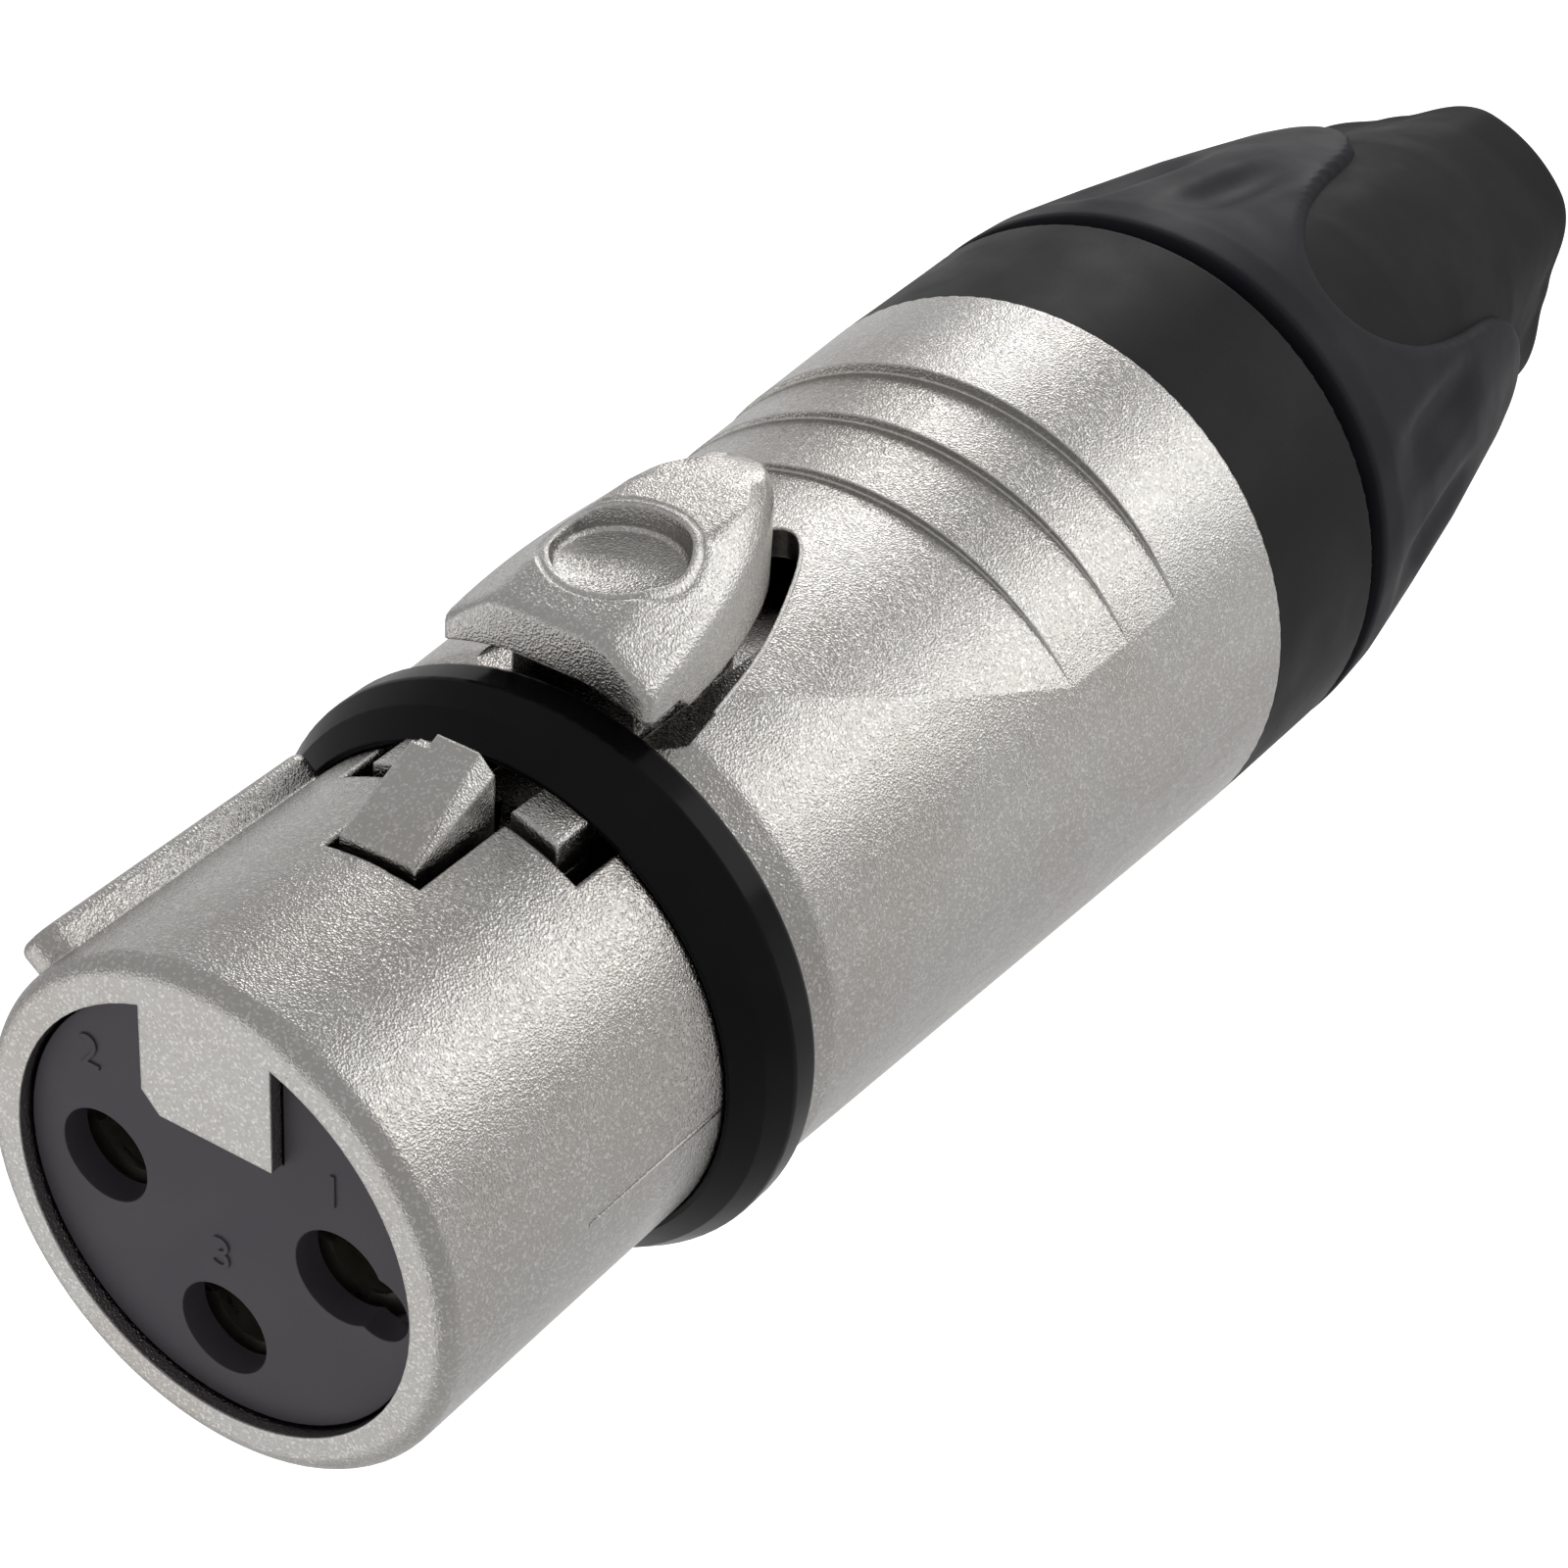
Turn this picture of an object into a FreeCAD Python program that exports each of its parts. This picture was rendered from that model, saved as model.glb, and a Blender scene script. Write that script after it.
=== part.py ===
import FreeCAD, Part
import math
import os

# Female XLR cable connector, three poles, with a thumb latch and a screwed cable clamp.
# Millimetres. X runs along the connector, from the mating face at x = 0 to the cable end.
# Z is up, on the latch side. The origin is on the axis, in the plane of the mating face.

V = FreeCAD.Vector
X_AXIS = V(1, 0, 0)
Y_AXIS = V(0, 1, 0)
Z_AXIS = V(0, 0, 1)

# Clearances
FACE_GAP = 0.05
SLIDE_GAP = 0.06
RUN_GAP = 0.05
INSERT_GAP = 0.1
LATCH_SIDE_GAP = 0.3

# Die-cast housing: barrel and shoulder
BARREL_R = 7.85
BARREL_WALL = 1.25
BARREL_BORE_R = BARREL_R - BARREL_WALL
RIM_ROUND = 0.6
SHOULDER_X = 14.8
SHOULDER_STEP = 0.5
SHOULDER_R = BARREL_R + SHOULDER_STEP
TONGUE_WIDTH = 4.3
TONGUE_DEPTH = 3.0
TONGUE_BOTTOM_Z = 2.9
TONGUE_CORNER = 0.6
RIB_ANGLE = 53.0
RIB_WIDTH = 1.6
RIB_HEIGHT = 0.9
RIB_FRONT_X = 1.0
RIB_LENGTH = 11.0
RIB_END_ROUND = 0.7
RIB_TOP_ROUND = 0.3
SEAT_OVERLAP = 0.4

# Windows for the latch, from the front to the back
HOOK_SLOT_AHEAD = 8.05
HOOK_SLOT_FRONT_X = SHOULDER_X - HOOK_SLOT_AHEAD
LUG_SLOT_AHEAD = 4.4
LUG_SLOT_FRONT_X = SHOULDER_X - LUG_SLOT_AHEAD
LUG_SLOT_WIDTH = 7.8
SLOT_EDGE_ROUND = 0.12
WINDOW_LENGTH = 11.5
WINDOW_REAR_X = SHOULDER_X + WINDOW_LENGTH
WINDOW_HALF_WIDTH = 3.7
WINDOW_FLOOR_Z = 4.6
WINDOW_LEDGE_DEPTH = 0.85
# Shape shared by the window and the button: shares of the length and of the half-width
SHIELD_SHAPE = (
    (0.0, 1.0),
    (0.4, 0.84),
    (0.75, 0.51),
    (1.0, 0.0),
)

# Die-cast housing: body, cavity and threaded end
BODY_FRONT_LENGTH = 1.4
BODY_FRONT_X = SHOULDER_X + BODY_FRONT_LENGTH
BODY_STEP = 0.5
BODY_FRONT_R = SHOULDER_R + BODY_STEP
BODY_FRONT_ROUND = 0.6
BODY_FLARE = 1.0
BODY_REAR_R = BODY_FRONT_R + BODY_FLARE
BODY_WALL = 1.25
CAVITY_R = BODY_FRONT_R - BODY_WALL
PIVOT_BEHIND = 1.7
PIVOT_X = WINDOW_REAR_X + PIVOT_BEHIND
CLAMP_BEHIND = 3.0
CAVITY_REAR_X = PIVOT_X + CLAMP_BEHIND
THREAD_FRONT_LENGTH = 9.6
BODY_REAR_X = CAVITY_REAR_X + THREAD_FRONT_LENGTH
SPIGOT_LENGTH = 5.7
SPIGOT_REAR_X = BODY_REAR_X + SPIGOT_LENGTH
COLLAR_WALL = 0.85
SPIGOT_R = BODY_REAR_R - COLLAR_WALL
SPIGOT_WALL = 0.8
THREAD_R = SPIGOT_R - SPIGOT_WALL

# Thumb grip: three terraces cut into the top of the body, fading out at the sides
GRIP_FRONT = 0.8
GRIP_FIRST = 13.4
GRIP_STEPS = (0.0, 3.1, 5.9)
GRIP_DEPTHS = (0.95, 0.7, 0.4)
GRIP_FADE_ANGLE = 60.0

# Black ring on the shoulder, measured from its front and from the barrel
RING_LENGTH = 2.6
RING_FRONT_X = SHOULDER_X - RING_LENGTH
RING_OUTLINE = (
    (0.0, 0.2),
    (0.7, 0.9),
    (1.5, 1.35),
)
RING_ROUND = 0.25
RING_R = BARREL_R + RING_OUTLINE[-1][1]

# Insulated insert: front carrier and rear carrier
INSERT_RECESS = 0.47
FLANGE_SET = 0.2
FLANGE_X = SHOULDER_X + FLANGE_SET
FLANGE_STEP = 0.4
FLANGE_R = BARREL_BORE_R + FLANGE_STEP
FLANGE_DEPTH = 2.2
FLANGE_REAR_X = FLANGE_X + FLANGE_DEPTH
CARRIER_STEP = 0.2
CARRIER_R = BARREL_BORE_R - CARRIER_STEP
CARRIER_LENGTH = 4.8
CARRIER_REAR_X = FLANGE_REAR_X + CARRIER_LENGTH
CHANNEL_WIDTH = 7.0
CHANNEL_FLOOR_Z = 2.8
PIN_CIRCLE_R = 3.96
MOUTH_R = 1.45
MOUTH_DEPTH = 0.9
LOBE_R = 1.0
LOBE_OFFSET_Y = -1.25
LOBE_OFFSET_Z = -0.35
SHELF_THICKNESS = 0.85
SHELF_HALF_WIDTH = 4.3
EAR_THICKNESS = 1.3
EAR_TOP_Z = 6.1
EAR_LENGTH = 3.6
EAR_ROUND = 1.0
LEDGE_THICKNESS = 1.0
LEDGE_WIDTH = 5.0

# Socket contacts
CONTACT_ANGLES = (-90.0, 90.0, 180.0)
SOCKET_R = 1.8
SOCKET_BORE_R = 1.2
SOCKET_SET = 1.6
SOCKET_BORE_DEPTH = 10.5
SOCKET_SLOT = 0.4
SOCKET_SLOT_LENGTH = 8.0
COLLAR_SET = 0.4
COLLAR_X = FLANGE_X + COLLAR_SET
COLLAR_LENGTH = 1.4
COLLAR_STEP = 0.3
COLLAR_R = SOCKET_R + COLLAR_STEP
CUP_WALL = 0.4
CUP_R = SOCKET_R - COLLAR_STEP
CUP_BEHIND = 5.0
CUP_REAR_X = CARRIER_REAR_X + CUP_BEHIND
CUP_DEPTH = 4.6
CUP_MOUTH_LENGTH = 2.8
CUP_MOUTH_CUT = 0.4

# Spring clip that joins the housing to the earth tag
CLIP_FRONT_X = FLANGE_REAR_X + LEDGE_THICKNESS
CLIP_LENGTH = 2.6
CLIP_THICKNESS = 0.35
CLIP_TOP_Z = 1.6
BUMP_R = 0.9
BUMP_ANGLES = (150.0, 210.0)
TAG_ANGLE = 225.0
TAG_WIDTH = 1.8
TAG_LENGTH = 6.5
TAG_HOLE_R = 0.5
TAG_HOLE_PLACE = 5.0

# Latch: lever, hook, shoulder lugs and trunnion
PIVOT_Z = 4.6
TRUNNION_R = 0.9
LEVER_BOTTOM_Z = 5.4
LEVER_THICKNESS = 1.2
LEVER_TOP_Z = LEVER_BOTTOM_Z + LEVER_THICKNESS
LEVER_WIDTH = 4.2
WINDOW_HOLE_WIDTH = LEVER_WIDTH + 2 * LATCH_SIDE_GAP
TAIL_LENGTH = 6.5
# Side outline of the tail behind the lever, measured from the trunnion's axis
TAIL_OUTLINE = (
    (0.6, 1.3),
    (1.6, 0.7),
    (1.6, -0.7),
    (-1.2, -1.3),
    (-3.0, 0.8),
)
HOOK_PLAY = 0.5
HOOK_LENGTH = 3.15
HOOK_WIDTH = 2.5
HOOK_FRONT_RISE = 0.25
HOOK_REAR_RISE = 1.8
HOOK_STEP = 0.45
HOOK_STEP_WIDTH = 0.6
LUG_PLAY = 0.3
LUG_LENGTH = 1.45
LUG_TOP_GAP = 0.1
LUG_INNER_Y = 1.55
LUG_OUTER_Y = 3.1

# Thumb button: a cap that reaches out over the ring and the window's ledge, with a round dish
BUTTON_OVERHANG = 0.7
BUTTON_FRONT_X = SHOULDER_X - BUTTON_OVERHANG
BUTTON_SIDE_GAP = 0.2
BUTTON_HALF_WIDTH = WINDOW_HALF_WIDTH - BUTTON_SIDE_GAP
BUTTON_LENGTH = 10.1
BUTTON_BOTTOM_RISE = 0.25
BUTTON_CORNER_ROUND = 0.35
BUTTON_SECTION_MARGIN = 0.3
# Sections: distance behind the front, half-width and rise of the lower edge, then of the crest
BUTTON_SECTIONS = (
    (0.0, 3.5, 1.15, 1.7, 2.7),
    (3.9, 2.95, 2.15, 2.1, 3.0),
    (6.9, 2.0, 2.9, 1.5, 3.4),
    (8.6, 1.3, 3.35, 0.9, 3.65),
    (10.3, 0.9, 2.7, 0.3, 2.85),
)
BUTTON_PRESS_ROOM = 1.0
BUTTON_ARCH_BEHIND = 0.45
BUTTON_ARCH_GAP = 0.05
STEM_SET = 0.75
STEM_LENGTH = 4.8
STEM_RISE = 1.2
DISH_PLACE = 3.85
DISH_R = 2.05
DISH_RISE = 2.35

# Leaf spring under the lever
LEAF_THICKNESS = 0.3
LEAF_WIDTH = 3.6
LEAF_FRONT_X = FLANGE_X + 1.0
LEAF_LENGTH = 8.0
LEAF_BEND_R = 0.8
LEAF_TIP_LENGTH = 1.0
LEAF_TIP_DROP = 0.45

# Plain black collar on the threaded end
COLLAR_RING_LENGTH = 6.3
COLLAR_RING_REAR_X = BODY_REAR_X + COLLAR_RING_LENGTH
COLLAR_RING_FLARE = 0.1
COLLAR_RING_ROUND = 0.12

# Screwed bushing: thread, head and fingers
HEAD_GAP = 0.6
HEAD_X = COLLAR_RING_REAR_X + HEAD_GAP
HEAD_STEP = 0.15
HEAD_R = BODY_REAR_R + HEAD_STEP
# Outline of the head: distance behind its front face, and fall from its front radius
HEAD_OUTLINE = (
    (0.0, 0.0),
    (1.7, 0.07),
    (5.4, 0.58),
    (10.1, 1.3),
    (15.1, 2.17),
    (19.1, 2.9),
    (20.4, 3.2),
    (21.1, 3.75),
)
HEAD_EDGE_ROUND = 0.3
BUSHING_WALL = 1.25
BUSHING_BORE_R = THREAD_R - BUSHING_WALL
BUSHING_THREAD_LENGTH = 12.0
BUSHING_FRONT_X = HEAD_X - BUSHING_THREAD_LENGTH
BUSHING_BORE_LENGTH = 3.0
BUSHING_CONE_X = BUSHING_FRONT_X + BUSHING_BORE_LENGTH
FINGER_COUNT = 3
FIRST_SCOOP_ANGLE = -34.5
SCOOP_PLACE = 3.5
SCOOP_HALF_LENGTH = 9.0
SCOOP_HALF_WIDTH = 4.0
FINGER_GROOVES = 3
FINGER_GROOVE_ANGLE = 24.0
FINGER_GROOVE_PLACE = 2.9
FINGER_GROOVE_LENGTH = 6.8
FINGER_GROOVE_WIDTH = 1.7
FINGER_GROOVE_DEPTH = 0.45

# Cable clamp
CLAMP_SET = 0.2
CHUCK_FRONT_X = CAVITY_REAR_X - CLAMP_SET
CHUCK_RING_LENGTH = 3.6
CHUCK_RING_REAR_X = CHUCK_FRONT_X + CHUCK_RING_LENGTH
CHUCK_STEP = 0.35
CHUCK_R = BUSHING_BORE_R - CHUCK_STEP
CHUCK_WALL = 1.4
CHUCK_BORE_R = CHUCK_R - CHUCK_WALL
CHUCK_BEHIND = 3.0
CHUCK_REAR_X = HEAD_X + CHUCK_BEHIND
CHUCK_TAPER = 1.4
CHUCK_REAR_R = BUSHING_BORE_R - CHUCK_TAPER
CHUCK_REAR_WALL = 1.45
CHUCK_REAR_BORE_R = CHUCK_REAR_R - CHUCK_REAR_WALL
CHUCK_SLOTS = 4
CHUCK_SLOT_WIDTH = 1.3
PRONG_WIDTH = 1.8
PRONG_GAP = 0.15
PRONG_R = THREAD_R - PRONG_GAP
PRONG_THICKNESS = 1.1
PRONG_INNER_R = PRONG_R - PRONG_THICKNESS
PRONG_ANGLES = (90.0, 270.0)
TOOTH_DEPTH = 0.45
TOOTH_PITCH = 1.6
TEETH = 5

# Soft boot: a sleeve under the bushing's fingers, with a raised pad between each two of them
BOOT_SEAT_GAP = 0.45
BOOT_FRONT_X = CHUCK_REAR_X + BOOT_SEAT_GAP
BOOT_LENGTH = 20.95
BOOT_BORE_R = 4.0
BOOT_END_ROUND = 0.5
# Outlines of sleeve and pads: distance behind the front face, and fall from the head's front radius
BOOT_OUTLINE = (
    (0.0, 1.6),
    (6.65, 2.45),
    (11.65, 3.3),
    (15.65, 3.9),
    (17.65, 4.1),
    (20.45, 4.4),
)
PAD_OUTLINE = (
    (0.0, 0.7),
    (4.05, 1.3),
    (9.05, 2.2),
    (14.05, 3.25),
    (17.65, 4.0),
)


def turned(points):
    """Solid of revolution about the X axis, from (x, radius) corners."""
    corners = [V(x, 0, r) for x, r in points]
    face = Part.Face(Part.makePolygon(corners + corners[:1]))
    return face.revolve(V(0, 0, 0), X_AXIS, 360)


def turned_curve(outline, closing):
    """Solid of revolution whose outer side is a smooth curve through the outline."""
    curve = Part.BSplineCurve()
    curve.interpolate([V(x, 0, r) for x, r in outline])
    corners = [V(x, 0, r) for x, r in (outline[-1],) + closing + (outline[0],)]
    wire = Part.Wire([curve.toShape()] + Part.makePolygon(corners).Edges)
    return Part.Face(wire).revolve(V(0, 0, 0), X_AXIS, 360)


def rod(x0, x1, radius):
    return Part.makeCylinder(radius, x1 - x0, V(x0, 0, 0), X_AXIS)


def tube(x0, x1, inner, outer):
    return rod(x0, x1, outer).cut(rod(x0, x1, inner))


def block(x0, x1, y0, y1, z0, z1):
    return Part.makeBox(x1 - x0, y1 - y0, z1 - z0, V(x0, y0, z0))


def middle_block(x0, x1, width, z0, z1):
    return block(x0, x1, -width / 2, width / 2, z0, z1)


def about_x(shape, angle):
    """Copy turned from the top of the connector towards +Y."""
    copy = shape.copy()
    copy.rotate(V(0, 0, 0), X_AXIS, -angle)
    return copy


def edge_at(shape, x, radius):
    """The circular edges of the shape about the X axis at one place."""
    found = []
    for edge in shape.Edges:
        curve = edge.Curve
        if isinstance(curve, Part.Circle) and abs(curve.Radius - radius) < 1e-4:
            if abs(curve.Center.x - x) < 1e-4 and abs(curve.Center.z) < 1e-4:
                found.append(edge)
    return found


def body_radius(x):
    share = (x - BODY_FRONT_X) / (BODY_REAR_X - BODY_FRONT_X)
    return BODY_FRONT_R + share * (BODY_REAR_R - BODY_FRONT_R)


def sided_block(x0, x1, side, inner, outer, z0, z1):
    """Block between two distances from the middle plane, on the side given by a sign."""
    near = side * inner
    far = side * outer
    return block(x0, x1, min(near, far), max(near, far), z0, z1)


def shield_plan(x0, length, half_width, z0, z1):
    """Upright prism with a straight front and one curve round its narrowing sides and tip."""
    side = [V(x0 + along * length, across * half_width, z0) for along, across in SHIELD_SHAPE]
    mirrored = [V(p.x, -p.y, z0) for p in reversed(side[:-1])]
    curve = Part.BSplineCurve()
    curve.interpolate(side + mirrored)
    front = Part.makeLine(mirrored[-1], side[0])
    return Part.Face(Part.Wire([curve.toShape(), front])).extrude(V(0, 0, z1 - z0))


def grip_cut(x0, x1, depth0, depth1):
    """What a terrace removes: all that lies above a flatter arc than the body's own."""
    rise = 1 - math.cos(math.radians(GRIP_FADE_ANGLE))
    depth = max(depth0, depth1)
    r_mid = body_radius((x0 + x1) / 2)
    drop = (2 * r_mid * depth - depth ** 2) / (2 * (r_mid * rise - depth))
    arc0 = body_radius(x0) + drop - depth0
    arc1 = body_radius(x1) + drop - depth1
    start = V(x0, 0, -drop)
    kept = Part.makeCone(arc0, arc1, x1 - x0, start, X_AXIS)
    around = Part.makeCylinder(2 * BODY_REAR_R, x1 - x0, start, X_AXIS)
    upper = block(x0, x1, -BODY_REAR_R, BODY_REAR_R, 0, 2 * BODY_REAR_R)
    return around.cut(kept).common(upper)


def tongue_plate(x0, x1, grow, top):
    """Key tongue that hangs from the top of the bore, with one corner cut off."""
    half = TONGUE_WIDTH / 2 + grow
    bottom = TONGUE_BOTTOM_Z - grow
    corner = TONGUE_CORNER
    face = Part.Face(Part.makePolygon([
        V(x0, -half, top),
        V(x0, -half, bottom),
        V(x0, half - corner, bottom),
        V(x0, half, bottom + corner),
        V(x0, half, top),
        V(x0, -half, top),
    ]))
    return face.extrude(V(x1 - x0, 0, 0)).common(rod(x0, x1, top))


def latch_openings():
    """The openings that the latch comes up through: hook slot, lug slot, ledge and window."""
    top_z = 2 * BARREL_R
    hook_slot = middle_block(HOOK_SLOT_FRONT_X, SHOULDER_X, HOOK_WIDTH + 2 * LATCH_SIDE_GAP,
                             WINDOW_FLOOR_Z, top_z)
    lug_slot = middle_block(LUG_SLOT_FRONT_X, SHOULDER_X, LUG_SLOT_WIDTH, WINDOW_FLOOR_Z, top_z)
    ledge = shield_plan(SHOULDER_X, WINDOW_LENGTH, WINDOW_HALF_WIDTH,
                        BODY_FRONT_R - WINDOW_LEDGE_DEPTH, top_z)
    window = shield_plan(SHOULDER_X, WINDOW_LENGTH, WINDOW_HALF_WIDTH, WINDOW_FLOOR_Z, top_z)
    window = window.common(middle_block(SHOULDER_X, WINDOW_REAR_X, WINDOW_HOLE_WIDTH, WINDOW_FLOOR_Z, top_z))
    return hook_slot, lug_slot, ledge, window


def barrel_slot_edges(housing, slots):
    """Edges of the latch slots on the outside of the barrel, ahead of the shoulder."""
    found = []
    for edge in housing.Edges:
        middle = edge.valueAt((edge.FirstParameter + edge.LastParameter) / 2)
        ends = [math.hypot(v.Point.y, v.Point.z) for v in edge.Vertexes]
        if middle.x > SHOULDER_X - SLOT_EDGE_ROUND or min(ends) < BARREL_R - SLOT_EDGE_ROUND:
            continue
        if min(Part.Vertex(middle).distToShape(wall)[0] for slot in slots for wall in slot.Faces) < 1e-4:
            found.append(edge)
    return found


def make_rib():
    """Key rib on the barrel, at the top until it is turned to its place."""
    top = BARREL_R + RIB_HEIGHT
    rib = middle_block(RIB_FRONT_X, RIB_FRONT_X + RIB_LENGTH, RIB_WIDTH, BARREL_R - SEAT_OVERLAP, top)
    upright = [e for e in rib.Edges if abs(e.tangentAt(e.FirstParameter).z) > 0.9]
    rib = rib.makeFillet(RIB_END_ROUND, upright)
    upper = [e for e in rib.Edges if min(v.Point.z for v in e.Vertexes) > top - 1e-4]
    return rib.makeFillet(RIB_TOP_ROUND, upper)


def make_housing():
    outside = turned([
        (0, 0),
        (0, BARREL_R),
        (SHOULDER_X, BARREL_R),
        (SHOULDER_X, SHOULDER_R),
        (BODY_FRONT_X, BODY_FRONT_R),
        (BODY_REAR_X, BODY_REAR_R),
        (BODY_REAR_X, SPIGOT_R),
        (SPIGOT_REAR_X, SPIGOT_R),
        (SPIGOT_REAR_X, 0),
    ])
    outside = outside.makeFillet(RIM_ROUND, edge_at(outside, 0, BARREL_R))
    outside = outside.makeFillet(BODY_FRONT_ROUND, edge_at(outside, BODY_FRONT_X, BODY_FRONT_R))
    flange_bore = FLANGE_R + INSERT_GAP
    inside = turned([
        (0, 0),
        (0, BARREL_BORE_R),
        (FLANGE_X, BARREL_BORE_R),
        (FLANGE_X, flange_bore),
        (FLANGE_REAR_X, flange_bore),
        (FLANGE_REAR_X, CAVITY_R),
        (CAVITY_REAR_X, CAVITY_R),
        (CAVITY_REAR_X, THREAD_R),
        (SPIGOT_REAR_X, THREAD_R),
        (SPIGOT_REAR_X, 0),
    ])
    housing = outside.cut(inside)
    lines = [BODY_FRONT_X + GRIP_FIRST + step for step in GRIP_STEPS]
    fronts = [BODY_FRONT_X + GRIP_FRONT] + lines[:-1]
    for index, (x0, x1, depth) in enumerate(zip(fronts, lines, GRIP_DEPTHS)):
        first = 0.0 if index == 0 else depth
        housing = housing.cut(grip_cut(x0, x1, first, depth))
    housing = housing.fuse(about_x(make_rib(), RIB_ANGLE))
    housing = housing.fuse(tongue_plate(0, TONGUE_DEPTH, 0, BARREL_BORE_R + SEAT_OVERLAP))
    hook_slot, lug_slot, ledge, window = latch_openings()
    housing = housing.cut([hook_slot, lug_slot, ledge, window])
    housing = housing.makeFillet(SLOT_EDGE_ROUND, barrel_slot_edges(housing, (hook_slot, lug_slot)))
    keyway = middle_block(CARRIER_REAR_X, CAVITY_REAR_X, PRONG_WIDTH + 2 * SLIDE_GAP,
                          0, PRONG_R + SLIDE_GAP)
    for angle in PRONG_ANGLES:
        housing = housing.cut(about_x(keyway, angle))
    return housing.removeSplitter()


def make_front_ring():
    bore = BARREL_R + FACE_GAP
    outline = [(RING_FRONT_X + place, BARREL_R + rise) for place, rise in RING_OUTLINE]
    edge_x, ring_r = outline[-1]
    ring = turned([(RING_FRONT_X, bore)] + outline + [(SHOULDER_X, ring_r), (SHOULDER_X, bore)])
    rims = edge_at(ring, SHOULDER_X, ring_r) + edge_at(ring, edge_x, ring_r)
    return ring.makeFillet(RING_ROUND, rims)


def contact_places():
    """Centre of each contact in the YZ plane."""
    places = []
    for angle in CONTACT_ANGLES:
        turn = math.radians(angle)
        places.append((PIN_CIRCLE_R * math.sin(turn), PIN_CIRCLE_R * math.cos(turn)))
    return places


def contact_hole(x0, x1, y, z, radius):
    return Part.makeCylinder(radius, x1 - x0, V(x0, y, z), X_AXIS)


def make_insert_front():
    insert = rod(INSERT_RECESS, FLANGE_X, BARREL_BORE_R - INSERT_GAP)
    insert = insert.fuse(rod(FLANGE_X, FLANGE_REAR_X, FLANGE_R))
    insert = insert.cut(tongue_plate(0, TONGUE_DEPTH + FACE_GAP, FACE_GAP, FLANGE_R))
    channel = middle_block(TONGUE_DEPTH, FLANGE_REAR_X, CHANNEL_WIDTH, CHANNEL_FLOOR_Z, FLANGE_R)
    insert = insert.cut(channel)
    mouth_rear = INSERT_RECESS + MOUTH_DEPTH
    for y, z in contact_places():
        insert = insert.cut(contact_hole(0, mouth_rear, y, z, MOUTH_R))
        insert = insert.cut(contact_hole(mouth_rear, COLLAR_X, y, z, SOCKET_R + FACE_GAP))
        insert = insert.cut(contact_hole(COLLAR_X - FACE_GAP, FLANGE_REAR_X, y, z, COLLAR_R + FACE_GAP))
    first_y, first_z = contact_places()[0]
    lobe = contact_hole(0, mouth_rear, first_y + LOBE_OFFSET_Y, first_z + LOBE_OFFSET_Z, LOBE_R)
    return insert.cut(lobe).removeSplitter()


def make_insert_back():
    front = FLANGE_REAR_X
    back = rod(front, CARRIER_REAR_X, CARRIER_R)
    back = back.cut(middle_block(front, CARRIER_REAR_X, 2 * CARRIER_R, CHANNEL_FLOOR_Z, CARRIER_R))
    ear_front = PIVOT_X - EAR_LENGTH / 2
    ear_rear = PIVOT_X + EAR_LENGTH / 2
    shelf_bottom = CHANNEL_FLOOR_Z - SHELF_THICKNESS
    shelf = middle_block(front, ear_rear, 2 * SHELF_HALF_WIDTH, shelf_bottom, CHANNEL_FLOOR_Z)
    back = back.fuse(shelf)
    for side in (-1, 1):
        ear = sided_block(ear_front, ear_rear, side, SHELF_HALF_WIDTH - EAR_THICKNESS, SHELF_HALF_WIDTH,
                          shelf_bottom, EAR_TOP_Z)
        corners = [e for e in ear.Edges
                   if abs(e.tangentAt(e.FirstParameter).y) > 0.9 and e.CenterOfMass.z > EAR_TOP_Z - 1e-4]
        back = back.fuse(ear.makeFillet(EAR_ROUND, corners))
    ledge_r = CAVITY_R - INSERT_GAP
    ledge_front = CARRIER_REAR_X - LEDGE_THICKNESS
    ledge_ring = tube(ledge_front, CARRIER_REAR_X, CARRIER_R - SEAT_OVERLAP, ledge_r)
    for angle in PRONG_ANGLES:
        sector = middle_block(ledge_front, CARRIER_REAR_X, LEDGE_WIDTH, 0, ledge_r)
        back = back.fuse(ledge_ring.common(about_x(sector, angle)))
    pivot = Part.makeCylinder(TRUNNION_R + RUN_GAP, 2 * CARRIER_R, V(PIVOT_X, -CARRIER_R, PIVOT_Z), Y_AXIS)
    back = back.cut(pivot)
    for y, z in contact_places():
        back = back.cut(contact_hole(front, CARRIER_REAR_X, y, z, CUP_R + FACE_GAP))
    return back.removeSplitter()


def make_contact(y, z):
    mouth = SOCKET_SET
    bore_end = mouth + SOCKET_BORE_DEPTH
    body = rod(mouth, COLLAR_X, SOCKET_R).fuse(rod(COLLAR_X, COLLAR_X + COLLAR_LENGTH, COLLAR_R))
    body = body.fuse(rod(COLLAR_X + COLLAR_LENGTH, CUP_REAR_X, CUP_R))
    body = body.cut(rod(mouth, bore_end, SOCKET_BORE_R))
    slot = block(mouth, mouth + SOCKET_SLOT_LENGTH, -SOCKET_R, SOCKET_R, -SOCKET_SLOT / 2, SOCKET_SLOT / 2)
    body = body.cut(slot)
    body = body.cut(rod(CUP_REAR_X - CUP_DEPTH, CUP_REAR_X, CUP_R - CUP_WALL))
    opening = block(CUP_REAR_X - CUP_MOUTH_LENGTH, CUP_REAR_X, -CUP_R, CUP_R, CUP_MOUTH_CUT, CUP_R)
    if z < 0:
        opening.rotate(V(0, 0, 0), X_AXIS, 180)
    body = body.cut(opening)
    body.translate(V(0, y, z))
    return body.removeSplitter()


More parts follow.
